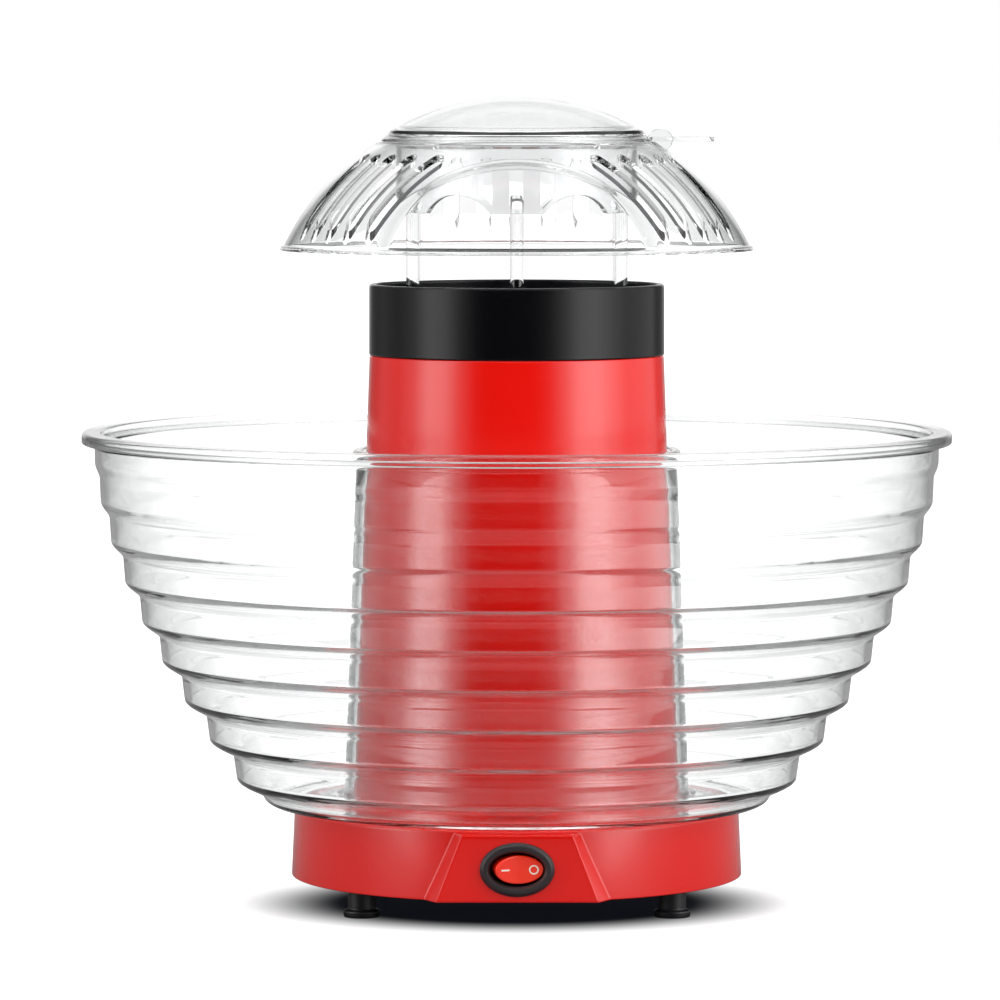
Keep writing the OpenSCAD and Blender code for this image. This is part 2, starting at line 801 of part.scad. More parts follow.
block_size = [17, 10, 9];
block_y = base_in - 24;
block_z = foot_h + cover_t + 1;

module terminal_block() {
    color("#e6e2d6") translate([-block_size[0] / 2, block_y - block_size[1], block_z]) difference() {
        cube(block_size);
        for (x = [4.2, 12.8]) {
            translate([x, -cut, 4]) rotate([-90, 0, 0]) cylinder(r = 1.7, h = block_size[1] + 2 * cut);
            translate([x, block_size[1] / 2, 4]) cylinder(r = 1.4, h = block_size[2]);
        }
    }
}

wire_r = 1.1;
tab_y = -(panel_y - barrel_depth - 5.8);

module wire_supply() {
    r = post_circle - post_r - 3.4;
    color("#2d5fb5") wire([
        [7, tab_y + 1.5, switch_z], [14, tab_y + 4, switch_z], [r * cos(-50), r * sin(-50), 22],
        [r * cos(-20), r * sin(-20), 21], [r * cos(15), r * sin(15), 21], [r * cos(45), r * sin(45), 20],
        [r * cos(66), r * sin(66), 20], [13, block_y + 4, block_z + 5], [5, block_y + 4, block_z + 4],
        [4.3, block_y + 0.4, block_z + 4]
    ], wire_r);
}

module wire_heater() {
    r = post_circle - post_r - 3.4;
    color("#8a3b1e") wire([
        [-4.3, block_y + 0.4, block_z + 4], [-5, block_y + 4, block_z + 4], [-13, block_y + 4, block_z + 5],
        [r * cos(114), r * sin(114), 20], [r * cos(135), r * sin(135), 20], [r * cos(165), r * sin(165), 21], [r * cos(200), r * sin(200), 21],
        [r * cos(230), r * sin(230), 22], [-14, tab_y + 4, switch_z], [-7, tab_y + 1.5, switch_z]
    ], wire_r);
}

module wire_motor() {
    z = motor_base_z - 5;
    color("#1f1f22") wire([
        [0, tab_y + 1.5, switch_z], [0, tab_y + 9, switch_z - 1], [0, -38, z + 3], [0, -26, z],
        [0, -15.5, z + 1.5]
    ], wire_r);
}

// ---- bowl ----

function bowl_curve_r(h) =
    bowl_top_r - (bowl_top_r - bowl_low_r) * pow(max(0, 1 - h / (bowl_h - rim_depth)), bowl_curve);

function ease(t) = let (x = min(1, max(0, t))) x * x * (3 - 2 * x);

// A flight of soft steps: flat between whole numbers' neighbourhoods, rising across each whole number
function stairs(u) =
    let (k = floor(u + 0.5), f = u - k)
    k - 0.5 + ease(f / riser_share + 0.5);

function bowl_wall_r(h) =
    let (u = (h - tier_first) / tier_pitch, s = (1 - tier_amount) * u + tier_amount * stairs(u))
    bowl_curve_r(tier_first + tier_pitch * s);

function bowl_slope(h) = (bowl_curve_r(h + 1) - bowl_curve_r(h - 1)) / 2;

function bowl_inner_r(h) = bowl_wall_r(h) - bowl_wall * sqrt(1 + pow(bowl_slope(h), 2));

riser_marks = [-riser_share / 2, -riser_share / 4, 0, riser_share / 4, riser_share / 2];
tier_heights = [for (k = [0:tier_n - 1], m = riser_marks) tier_first + tier_pitch * (k + m)];

module bowl() {
    base = seat;
    floor_top = base + bowl_wall;
    first = tier_heights[0];
    corner_w = bowl_wall_r(first) - bowl_foot_r;
    top = bowl_h;
    wall_top = top - rim_depth;
    function neck_in(h) = tower_at(deck_z + h) + neck_gap;
    outer = concat(
        [[neck_in(base), base]],
        [for (p = bowl_corner_out) [bowl_foot_r + corner_w * p[0], base + (first - base) * p[1]]],
        [for (h = tier_heights) [bowl_wall_r(h), h]],
        [[bowl_top_r, wall_top + rim_depth - rim_t - 0.4], [bowl_top_r + 0.4, top - rim_t],
            [rim_r - rim_t, top - rim_t], [rim_r - rim_t, top - rim_depth], [rim_r - 0.5, top - rim_depth],
            [rim_r, top - rim_depth + 0.6]],
        arc([rim_r - 1.8, top - 1.8], 1.8, 0, 90, 4),
        [[bowl_top_r - bowl_wall + 1.2, top]],
        [[bowl_top_r - bowl_wall, top - 1.2]]
    );
    inner = concat(
        [for (i = [len(tier_heights) - 1:-1:0])
            [bowl_inner_r(tier_heights[i]), tier_heights[i] + bowl_wall * 0.4]],
        [for (p = bowl_corner_in) [bowl_foot_r + corner_w * p[0], floor_top + (first - base) * p[1]]],
        [[neck_in(floor_top) + neck_wall + 2, floor_top], [neck_in(floor_top + 2) + neck_wall, floor_top + 2]]
    );
    neck = concat(
        [[neck_in(neck_h) + neck_wall, neck_h - neck_bead_h - 1], [neck_in(neck_h) + neck_wall + neck_bead, neck_h - neck_bead_h]],
        arc([neck_in(neck_h) + neck_wall + neck_bead - 1.4, neck_h - 1.4], 1.4, 0, 90, 3),
        [[neck_in(neck_h) + 0.6, neck_h], [neck_in(neck_h), neck_h - 0.8]]
    );
    color("#dfe6ea", 0.35) translate([0, 0, deck_z]) turned(concat(outer, inner, neck));
}

// ---- hood ----

hood_rim_point = [hood_r, hood_z];
hood_top_point = [hood_top_r, hood_top_z];
hood_centre = bend_centre(hood_rim_point, hood_top_point, hood_bend);
hood_a0 = heading(hood_centre, hood_rim_point);
hood_a1 = heading(hood_centre, hood_top_point);

function hood_r_at(z) = hood_centre[0] + sqrt(pow(hood_bend, 2) - pow(z - hood_centre[1], 2));

module hood_slots() {
    inner_end = hood_r_at(hood_top_z - slot_from_top) + slot_w / 2;
    outer_end = hood_r_at(hood_z + slot_from_rim) - slot_w / 2;
    for (g = slot_groups, i = [0:slot_n - 1]) {
        s = g[1] + (i - (slot_n - 1) / 2) * g[2];
        u0 = sqrt(pow(inner_end, 2) - s * s);
        u1 = sqrt(pow(outer_end, 2) - s * s);
        rotate([0, 0, g[0]]) translate([0, s, hood_z - cut]) {
            translate([u0, -slot_w / 2, 0]) cube([u1 - u0, slot_w, hood_h + cut]);
            translate([u0, 0, 0]) cylinder(r = slot_w / 2, h = hood_h + cut);
            translate([u1, 0, 0]) cylinder(r = slot_w / 2, h = hood_h + cut);
        }
    }
}

// The outer skin of the hood that the three arched panels are sunk through
module hood_skin() {
    turned(concat(
        arc(hood_centre, hood_bend + 2, hood_a0 - 3, hood_a1, 10),
        arc(hood_centre, hood_bend - panel_depth, hood_a1, hood_a0 - 3, 10)
    ));
}

module arch_prism(angle) {
    half = [for (i = [0:18]) [arch_half * cos(10 * i), arch_h * sin(10 * i)]];
    rotate([0, 0, angle + 90]) translate([0, 0, hood_z]) rotate([90, 0, 0])
        linear_extrude(hood_r + 5) polygon(concat([[arch_half, -5]], half, [[-arch_half, -5]]));
}

module hood() {
    plate_low = hood_top_z - hood_wall;
    inner_bend = hood_bend - hood_wall;
    inner_a1 = asin((plate_low - hood_centre[1]) / inner_bend);
    color("#e6ecef", 0.3) difference() {
        turned(concat(
            [[hood_r_at(hood_z) + rim_bead, hood_z], [hood_r_at(hood_z) + rim_bead, hood_z + rim_bead_h]],
            arc(hood_centre, hood_bend, hood_a0 + 2.4, hood_a1, 12),
            [[collar_r, hood_top_z], [collar_r, hood_top_z + collar_h], [hood_hole, hood_top_z + collar_h],
                [hood_hole, plate_low]],
            arc(hood_centre, inner_bend, inner_a1, asin((hood_z - hood_centre[1]) / inner_bend), 12)
        ));
        hood_slots();
        for (a = arch_angles) intersection() {
            hood_skin();
            arch_prism(a);
        }
        translate([collar_r + 0.5, -web_t / 2 - web_notch, hood_top_z - 5])
            cube([web_x + web_half[0] + web_notch - collar_r - 0.5, web_t + 2 * web_notch, 10]);
    }
}

module hood_cage() {
    scallop_r = (pow(scallop_chord / 2, 2) + pow(scallop_rise, 2)) / (2 * scallop_rise);
    top = hood_top_z - hood_wall - seat;
    color("#e6ecef", 0.3) union() {
        difference() {
            pipe(cage_in, cage_out, cage_z, top);
            for (i = [0:leg_n - 1]) rotate([0, 0, 60 * i])
                translate([cage_in - 5, 0, cage_z + scallop_rise - scallop_r]) rotate([0, 90, 0])
                    cylinder(r = scallop_r, h = 20);
        }
        around(leg_n, leg_circle, 30) translate([0, 0, leg_foot_z + seat]) cylinder(r = leg_r, h = cage_z - leg_foot_z + 6);
    }
}

module measuring_cup() {
    sphere_r = (pow(cup_r, 2) + pow(cup_dome_h, 2)) / (2 * cup_dome_h);
    centre_z = cup_z + brim_h + cup_dome_h - sphere_r;
    edge = acos(cup_r / sphere_r);
    inner_r = sphere_r - cup_wall;
    inner_edge = asin((cup_z + brim_h - 0.7 - centre_z) / inner_r);
    tip_x = brim_r + handle_reach - handle_tip_r;
    color("#e6ecef", 0.3) union() {
        turned(concat(
            [[brim_r - cup_wall, cup_z], [brim_r, cup_z], [brim_r, cup_z + 0.5]],
            arc([0, centre_z], sphere_r, edge, 90, 10),
            arc([0, centre_z], inner_r, 90, inner_edge, 10)
        ));
        translate([0, 0, cup_z + 0.1]) difference() {
            linear_extrude(handle_t) union() {
                polygon([[brim_r - 3, -handle_w / 2], [tip_x, -handle_tip_r], [tip_x, handle_tip_r],
                    [brim_r - 3, handle_w / 2]]);
                translate([tip_x, 0]) circle(r = handle_tip_r);
            }
            translate([0, 0, -cut]) cylinder(r = brim_r - cup_wall / 2, h = handle_t + 2 * cut);
        }
        translate([web_x, web_t / 2, cup_z + 0.8]) rotate([90, 0, 0]) linear_extrude(web_t) polygon([
            for (k = [[1, 0.42], [0.42, 1], [-0.42, 1], [-1, 0.42], [-1, -0.42], [-0.42, -1], [0.42, -1], [1, -0.42]])
                [k[0] * web_half[0], k[1] * web_half[1]]
        ]);
    }
}

base_shell();
bottom_cover();
foot(0);  // foot_front_left
foot(1);  // foot_front_right
foot(2);  // foot_rear_left
foot(3);  // foot_rear_right
foot_screws();
cover_screws();
tower_screws();
tower_shell();
top_ring();
ring_gasket();
popping_chamber();
chamber_screws();
air_duct();
mica_frame();
heater_coil();
thermostat();
thermal_fuse();
fan_housing();
motor_can();
motor_cap();
motor_bush();
motor_screws();
rectifier_board();
diodes();
motor_shaft();
fan_impeller();
switch_housing();
switch_terminals();
switch_rocker();
cord_gland();
gland_nut();
terminal_block();
wire_supply();
wire_heater();
wire_motor();
bowl();
hood();
hood_cage();
measuring_cup();
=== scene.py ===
import json
import math

import bmesh
import bpy
import numpy as np
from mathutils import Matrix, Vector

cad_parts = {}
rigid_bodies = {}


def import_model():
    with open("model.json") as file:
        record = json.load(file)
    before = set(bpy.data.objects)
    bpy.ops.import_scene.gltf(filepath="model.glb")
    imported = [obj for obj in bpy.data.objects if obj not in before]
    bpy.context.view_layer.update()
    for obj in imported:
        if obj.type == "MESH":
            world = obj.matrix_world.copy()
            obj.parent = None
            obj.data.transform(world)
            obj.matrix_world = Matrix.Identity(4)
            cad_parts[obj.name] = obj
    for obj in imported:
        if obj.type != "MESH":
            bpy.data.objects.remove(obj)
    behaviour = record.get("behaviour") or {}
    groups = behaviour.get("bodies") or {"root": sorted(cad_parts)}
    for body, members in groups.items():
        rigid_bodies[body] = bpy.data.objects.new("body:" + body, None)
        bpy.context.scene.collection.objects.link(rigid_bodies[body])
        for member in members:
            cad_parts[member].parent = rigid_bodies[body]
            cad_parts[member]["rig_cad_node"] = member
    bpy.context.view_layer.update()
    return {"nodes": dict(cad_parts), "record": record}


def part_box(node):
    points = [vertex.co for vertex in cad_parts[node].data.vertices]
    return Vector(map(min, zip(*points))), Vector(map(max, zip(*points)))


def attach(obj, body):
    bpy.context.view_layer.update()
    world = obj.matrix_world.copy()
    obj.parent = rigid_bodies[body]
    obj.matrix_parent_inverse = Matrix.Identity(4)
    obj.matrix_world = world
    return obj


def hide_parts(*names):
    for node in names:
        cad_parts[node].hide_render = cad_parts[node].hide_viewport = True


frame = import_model()

MM = 0.001


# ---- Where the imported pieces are, in millimetres ----

def low_high(node):
    """A node's lowest and highest corners in millimetres."""
    low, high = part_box(node)
    return np.array(low) / MM, np.array(high) / MM


base_low, base_high = low_high("base_shell")
tower_low, tower_high = low_high("tower_shell")
ring_high = low_high("top_ring")[1]
bowl_low, bowl_high = low_high("bowl")
hood_low, hood_high = low_high("hood")
cage_low = low_high("hood_cage")[0]
cup_high = low_high("measuring_cup")[1]
flange_low, flange_high = low_high("switch_housing")

SEAT = 0.05
deck_z = bowl_low[2] - SEAT
skirt_z = base_low[2]
tower_top_z = tower_high[2] + SEAT
ring_top_z = ring_high[2]
tower_foot_r = tower_high[0]
ring_r = ring_high[0]
DRAFT = 0.036
tower_r = tower_foot_r - DRAFT * (tower_top_z - tower_low[2])


def tower_at(z):
    """Outside radius of the tower at height z: a straight cone."""
    return tower_r + DRAFT * (tower_top_z - z)


# ---- Meshes from whole arrays ----

def grid(points, close_rows=False, close_cols=False):
    """Vertices and quads of a surface given as points[row, col]; each cell joins its four corners,
    and a closed direction also joins its last line to its first."""
    rows, cols = points.shape[:2]
    i, j = np.meshgrid(
        np.arange(rows if close_rows else rows - 1),
        np.arange(cols if close_cols else cols - 1),
        indexing="ij",
    )
    i2, j2 = (i + 1) % rows, (j + 1) % cols
    quads = np.stack([i * cols + j, i * cols + j2, i2 * cols + j2, i2 * cols + j], axis=-1)
    return points.reshape(-1, 3), quads.reshape(-1, 4)


def turned(outline, turns=192, centre=(0.0, 0.0), closed=True):
    """An outline of (radius, height) carried round a vertical axis: x = r cos a, y = r sin a."""
    outline = np.asarray(outline, float)
    angle = np.linspace(0, 2 * np.pi, turns, endpoint=False)[:, None]
    r, z = outline[:, 0][None, :], outline[:, 1][None, :]
    height = np.broadcast_to(z, (turns, len(outline)))
    points = np.stack([centre[0] + r * np.cos(angle), centre[1] + r * np.sin(angle), height], axis=-1)
    return grid(points, close_rows=True, close_cols=closed)


def rounded(corners, steps=5, guard=0.25):
    """A closed outline through corners (a, b, radius): each corner becomes an arc tangent to both sides,
    with one more point close to each end of the arc, so that the flat sides shade flat."""
    corners = [np.array(c, float) for c in corners]
    out = []
    for k, c in enumerate(corners):
        p, q, r = c[:2], corners[k - 1][:2], c[2]
        s = corners[(k + 1) % len(corners)][:2]
        u, v = q - p, s - p
        lu, lv = np.linalg.norm(u), np.linalg.norm(v)
        u, v = u / lu, v / lv
        half = math.acos(max(-1.0, min(1.0, float(u @ v)))) / 2
        if r <= 0 or half > math.radians(88):
            out.append(p[None, :])
            continue
        t = min(r / math.tan(half), 0.45 * lu, 0.45 * lv)
        r = t * math.tan(half)
        middle = p + (u + v) / np.linalg.norm(u + v) * (r / math.sin(half))
        a = p + u * t - middle
        b = p + v * t - middle
        share = np.linspace(0, 1, steps + 1)[:, None]
        turn = math.acos(max(-1.0, min(1.0, float(a @ b) / (r * r))))
        arc = (np.sin((1 - share) * turn) * a + np.sin(share * turn) * b) / math.sin(turn)
        g = min(guard, 0.3 * (lu - t), 0.3 * (lv - t))
        out.append(np.vstack([p + u * (t + g), middle + arc, p + v * (t + g)]))
    return np.vstack(out)


def shell(top, under, faces):
    """A closed shell: the faces on the top points, the same faces turned over on the points under them,
    and a wall of quads along every edge that only one face uses."""
    count = len(top)
    edges = np.vstack([np.stack([f, np.roll(f, -1, axis=1)], axis=-1).reshape(-1, 2) for f in faces])
    key = np.sort(edges, axis=1)
    _, first, uses = np.unique(key, axis=0, return_index=True, return_counts=True)
    rim = edges[first[uses == 1]]
    wall = np.stack([rim[:, 1], rim[:, 0], rim[:, 0] + count, rim[:, 1] + count], axis=-1)
    return np.vstack([top, under]), [*faces, *[f[:, ::-1] + count for f in faces], wall]


def cut_out(points, faces_grid, inside, move):
    """Cuts holes in a gridded surface. inside is a signed distance at each vertex, negative in a hole.
    Where an edge crosses an outline, its nearer end is moved on to the outline by move(mask), so that no
    cell is cut raggedly."""
    rows, cols = inside.shape
    snap = np.zeros_like(inside, bool)
    for a, b in (
        ((slice(None), slice(None)), (slice(None), np.arange(1, cols + 1) % cols)),
        ((slice(0, rows - 1), slice(None)), (slice(1, rows), slice(None))),
    ):
        da, db = inside[a], inside[b]
        crossed = da * db < 0
        near = np.abs(da) <= np.abs(db)
        mark_a = np.zeros_like(inside, bool)
        mark_a[a] = crossed & near
        mark_b = np.zeros_like(inside, bool)
        mark_b[b] = crossed & ~near
        snap |= mark_a | mark_b
    points = move(points, snap)
    side = np.where(snap, 0.0, inside).reshape(-1)
    d = side[faces_grid]
    whole = (d.min(axis=1) >= 0) & (d.max(axis=1) > 0)
    mixed = (d.min(axis=1) < 0) & (d.max(axis=1) > 0)
    f, m = faces_grid[mixed], d[mixed]
    tris = []
    for corner in ((0, 1, 2), (0, 2, 3), (0, 1, 3), (1, 2, 3)):
        t, k = f[:, corner], m[:, corner]
        other = m[:, [c for c in range(4) if c not in corner]]
        keep = (k.min(axis=1) >= 0) & (k.max(axis=1) > 0) & (other[:, 0] < 0)
        tris.append(t[keep])
    return points, [faces_grid[whole], np.vstack(tris)]


def volume(verts, faces):
    """Signed volume by the divergence theorem, fan by fan."""
    total = 0.0
    for f in faces:
        for k in range(1, f.shape[1] - 1):
            a, b, c = verts[f[:, 0]], verts[f[:, k]], verts[f[:, k + 1]]
            total += float(np.einsum("ij,ij->i", a, np.cross(b, c)).sum())
    return total / 6


def piece(name, parts, body, stands_for=(), crease=38.0):
    """One Blender object from closed shells (verts in millimetres, list of face arrays), merged at poles and
    seams, smooth but for edges sharper than crease, and riding on a body."""
    verts, loops, sizes, start = [], [], [], 0
    for v, faces in parts:
        faces = faces if isinstance(faces, list) else [faces]
        if volume(v, faces) < 0:
            faces = [f[:, ::-1] for f in faces]
        verts.append(v)
        for f in faces:
            loops.append((f + start).reshape(-1))
            sizes.append(np.full(len(f), f.shape[1]))
        start += len(v)
    verts, loops, sizes = np.vstack(verts) * MM, np.concatenate(loops), np.concatenate(sizes)
    mesh = bpy.data.meshes.new(name)
    mesh.vertices.add(len(verts))
    mesh.vertices.foreach_set("co", verts.reshape(-1).astype(np.float32))
    mesh.loops.add(len(loops))
    mesh.loops.foreach_set("vertex_index", loops.astype(np.int32))
    mesh.polygons.add(len(sizes))
    mesh.polygons.foreach_set("loop_start", (np.cumsum(sizes) - sizes).astype(np.int32))
    mesh.update(calc_edges=True)
    mesh.validate()
    work = bmesh.new()
    work.from_mesh(mesh)
    bmesh.ops.remove_doubles(work, verts=work.verts, dist=2e-6)
    bmesh.ops.dissolve_degenerate(work, edges=work.edges, dist=1e-7)
    work.to_mesh(mesh)
    work.free()
    mesh.polygons.foreach_set("use_smooth", np.ones(len(mesh.polygons), bool))
    mesh.set_sharp_from_angle(angle=math.radians(crease))
    obj = bpy.data.objects.new(name, mesh)
    bpy.context.scene.collection.objects.link(obj)
    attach(obj, body)
    if stands_for:
        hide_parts(*stands_for)
    return obj


# ---- Bowl ----

BOWL_H = bowl_high[2] - deck_z
RIM_R = bowl_high[0]
RIM_W = 5.0
RIM_DEPTH = 4.6
TIERS = 9
TIER_PITCH = (BOWL_H - 7) / TIERS
TIER_FIRST = TIER_PITCH / 2
BOWL_WALL = 2.4
BOWL_FOOT_R = base_high[0] - 1.2 - 1.2
BOWL_TOP_R = RIM_R - RIM_W
BOWL_LOW_R = base_high[0] - 1.2 + 11.8
NECK_H = 140.0
NECK_GAP = 1.6
NECK_WALL = 2.2


def bowl_flare(h):
    """Radius of the bowl's even flare at height h above the deck."""
    left = np.clip(1 - h / (BOWL_H - RIM_DEPTH), 0, None)
    return BOWL_TOP_R - (BOWL_TOP_R - BOWL_LOW_R) * left ** 1.65


def bowl_wall(h):
    """The flare with its height warped into a soft staircase: nearly upright between steps, and out
    quickly at each."""
    u = (h - TIER_FIRST) / TIER_PITCH
    k = np.floor(u + 0.5)
    x = np.clip((u - k) / 0.42 + 0.5, 0, 1)
    stair = k - 0.5 + x * x * (3 - 2 * x)
    return bowl_flare(TIER_FIRST + TIER_PITCH * (0.2 * u + 0.8 * stair))


def smooth_curve(points, count):
    """Cubic through points (Catmull-Rom on chord length), sampled count times."""
    p = np.asarray(points, float)
    chord = np.concatenate([[0], np.cumsum(np.linalg.norm(np.diff(p, axis=0), axis=1))])
    t = np.linspace(0, chord[-1], count)
    slope = np.gradient(p, chord, axis=0)
    k = np.clip(np.searchsorted(chord, t, side="right") - 1, 0, len(p) - 2)
    h = (chord[k + 1] - chord[k])[:, None]
    s = ((t - chord[k])[:, None]) / h
    return (
        (2 * s ** 3 - 3 * s ** 2 + 1) * p[k]
        + (s ** 3 - 2 * s ** 2 + s) * h * slope[k]
        + (-2 * s ** 3 + 3 * s ** 2) * p[k + 1]
        + (s ** 3 - s ** 2) * h * slope[k + 1]
    )


def offset_line(line, distance):
    """A line of (r, z) moved sideways by distance, to the left of its direction."""
    d = np.gradient(line, axis=0)
    n = np.stack([-d[:, 1], d[:, 0]], axis=-1)
    return line + distance * n / np.linalg.norm(n, axis=1)[:, None]


def bowl_outline():
    """Closed outline of the moulding: neck bore, foot, stepped wall, rolled rim, inner wall, floor, neck."""
    z0 = deck_z
    top = z0 + BOWL_H
    h = np.linspace(4.5, BOWL_H - 5.6, 152)
    wall = np.stack([bowl_wall(h), z0 + h], axis=-1)
    foot = smooth_curve(
        [(BOWL_FOOT_R - 3.5, z0 + SEAT), (BOWL_FOOT_R - 0.8, z0 + 0.15), (BOWL_FOOT_R + 6.0, z0 + 1.1),
         (BOWL_FOOT_R + 11.2, z0 + 1.9), (BOWL_FOOT_R + 12.8, z0 + 3.0), tuple(wall[0])], 26)[:-1]
    outside = np.vstack([foot, wall])
    inside = offset_line(outside, BOWL_WALL)[::-1]
    inside = inside[(inside[:, 1] > z0 + BOWL_WALL + 0.3) & (inside[:, 1] < top - 3)]
    rim = rounded([
        (wall[-1, 0] + 0.1, top - 2.9, 0.4), (RIM_R - 2.3, top - 2.3, 0.5),
        (RIM_R - 2.0, top - RIM_DEPTH, 0.4), (RIM_R, top - RIM_DEPTH, 0.7), (RIM_R, top, 1.8),
        (BOWL_TOP_R - BOWL_WALL, top, 1.2),
        (inside[0, 0], inside[0, 1] + 0.6, 0.3), (inside[0, 0] + 0.8, inside[0, 1] + 0.6, 0)], 5)
    rim = rim[:-1]
    bore = lambda z: tower_at(z) + NECK_GAP
    neck_top = z0 + NECK_H
    floor = z0 + SEAT + BOWL_WALL
    inner_foot = [(inside[-1, 0] - 3, floor + 0.05), (bore(floor) + NECK_WALL + 4, floor)]
    fillet = smooth_curve(
        [(bore(floor) + NECK_WALL + 4, floor), (bore(floor) + NECK_WALL + 1.2, floor + 1.0),
         (bore(floor + 4) + NECK_WALL, floor + 4)], 8)
    rise = np.linspace(floor + 6, neck_top - 8, 10)
    neck = np.stack([bore(rise) + NECK_WALL, rise], axis=-1)
    lip_r = bore(neck_top) + NECK_WALL
    lip = rounded([
        (lip_r, neck_top - 5.8, 0.6), (lip_r + 1.5, neck_top - 4.6, 0.8), (lip_r + 1.6, neck_top, 1.5),
        (bore(neck_top), neck_top, 1.0), (bore(neck_top - 6), neck_top - 6, 0)], 5)
    down = np.linspace(neck_top - 8, z0 + 2, 12)
    inner_bore = np.stack([bore(down), down], axis=-1)
    under = [(bore(z0) + 0.3, z0 + SEAT + 0.3), (bore(z0) + 0.8, z0 + SEAT)]
    return np.vstack([outside, rim, inside, inner_foot, fillet[1:], neck, lip, inner_bore, under])


piece("bowl_moulding", [turned(bowl_outline(), 256)], "bowl", ["bowl"], crease=60)


# ---- Tower and black ring ----

def tower_outline():
    """Closed outline of the tower: a drafted wall with a small round at its top edge."""
    z0, z1 = tower_low[2], tower_top_z - SEAT
    wall = 2.5
    inner = tower_r - wall
    return rounded([
        (tower_at(z0) - wall, z0, 0.2), (tower_at(z0), z0, 0.3), (tower_r + 0.02, z1, 0.7),
        (inner, z1, 0.3)], 5)


piece("tower_moulding", [turned(tower_outline(), 256)], "base", ["tower_shell"])

LEDGE_Z = ring_top_z - 13.2
LEG_CIRCLE = 46.6
SOCKET_R = 2.95
SOCKET_RAMP = 0.06
SOCKET_DEPTH = LEDGE_Z - cage_low[2] + 0.15
THROAT_R = 42.6
leg_angles = np.radians(30 + 60 * np.arange(6))
leg_centres = LEG_CIRCLE * np.stack([np.cos(leg_angles), np.sin(leg_angles)], axis=-1)


def ring_wall_outline():
    """Closed outline of the ring's wall: round top edge, thin wall down to the ledge, spigot in the tower."""
    z0, z1 = tower_top_z, ring_top_z
    outer = ring_r
    inner = outer - 2.4
    spigot = tower_r - 2.5 - 0.2
    return rounded([
        (spigot - 2, z0 - 8.5, 0.3), (spigot, z0 - 8.5, 0.6), (spigot, z0, 0), (outer, z0, 0.5),
        (outer - 0.05, z1, 1.5), (inner, z1, 0.9), (inner, LEDGE_Z - 2.2, 0), (inner, z0 + 2.5, 0.4),
        (spigot - 2, z0 + 2.5, 0.3)], 6)


def ledge_faces():
    """The ledge seen from above: a flat ring whose height dips into six leg sockets. Height is the ledge
    less a steep ramp inside each socket's circle; the surface ends at the throat with a collar that drops
    below."""
    inner = ring_r - 2.3
    r = np.concatenate([np.linspace(inner, THROAT_R + 0.5, 44), [THROAT_R + 0.15, THROAT_R]])
    drop = np.concatenate([np.zeros(44), [0.15, 0.5]])
    a = np.linspace(0, 2 * np.pi, 900, endpoint=False)
    x, y = r[:, None] * np.cos(a), r[:, None] * np.sin(a)
    gap = np.min([np.hypot(x - c[0], y - c[1]) for c in leg_centres], axis=0) - SOCKET_R
    z = LEDGE_Z - drop[:, None] - SOCKET_DEPTH * np.clip(-gap / SOCKET_RAMP, 0, 1)
    z = z + 0.5 * np.exp(-((gap - 1.0) / 0.7) ** 2)
    top = np.stack([x, y, z], axis=-1)
    under = top.copy()
    under[..., 2] = np.minimum(LEDGE_Z - 2.0, z - 1.5)
    under[-2:, :, 2] = LEDGE_Z - SOCKET_DEPTH - 2.0
    tp, f = grid(top, close_cols=True)
    return shell(tp, under.reshape(-1, 3), [f])


piece("ring_moulding", [turned(ring_wall_outline(), 256), ledge_faces()], "base", ["top_ring"])


# ---- Base with its switch panel ----

BASE_WALL = 2.5
deck_r = base_high[0] - 1.2
skirt_r = base_high[0]
PANEL_Y = -base_low[1]
PANEL_TOP_HALF = 21.0
PANEL_LOW_HALF = 31.0
PANEL_BEVEL = 5.0
PANEL_BACK = 9.5
PANEL_DROP = 1.2
SWITCH_A = 14.2
SWITCH_B = 10.3
switch_z = (flange_low[2] + flange_high[2]) / 2


def soft_max(a, b, k):
    """The larger of a and b, blended over a width of about k."""
    h = np.clip(0.5 + 0.5 * (a - b) / k, 0, 1)
    return b + (a - b) * h + k * h * (1 - h)


def soft_min(a, b, k):
    """The smaller of a and b, blended over a width of about k."""
    return -soft_max(-a, -b, k)


def panel_reach(angle, z):
    """How far out the switch panel's block reaches along each direction: the nearest of its front plane
    and its two sloping side planes, measured from the axis."""
    c, s = np.cos(angle), np.sin(angle)
    height = deck_z - PANEL_DROP - skirt_z
    half = PANEL_LOW_HALF + (PANEL_TOP_HALF - PANEL_LOW_HALF) * (z - skirt_z) / height
    front = PANEL_Y / np.maximum(-s, 1e-3)
    # a side plane joins (half, panel) to (half + bevel, panel - back)
    nx, ny = PANEL_BACK, PANEL_BEVEL
    reach = nx * half + ny * PANEL_Y
    side = reach / np.maximum(nx * np.abs(c) + ny * np.maximum(-s, 0), 1e-3)
    return np.where(s < -0.2, soft_min(front, side, 0.45), 0.0)


PANEL_ARC = 27.5
PANEL_COLUMNS = 300
LIP_OUT = 61.5
LIP_IN = 59.8
LIP_H = 3.0
DUCT_HOLE = 51.1


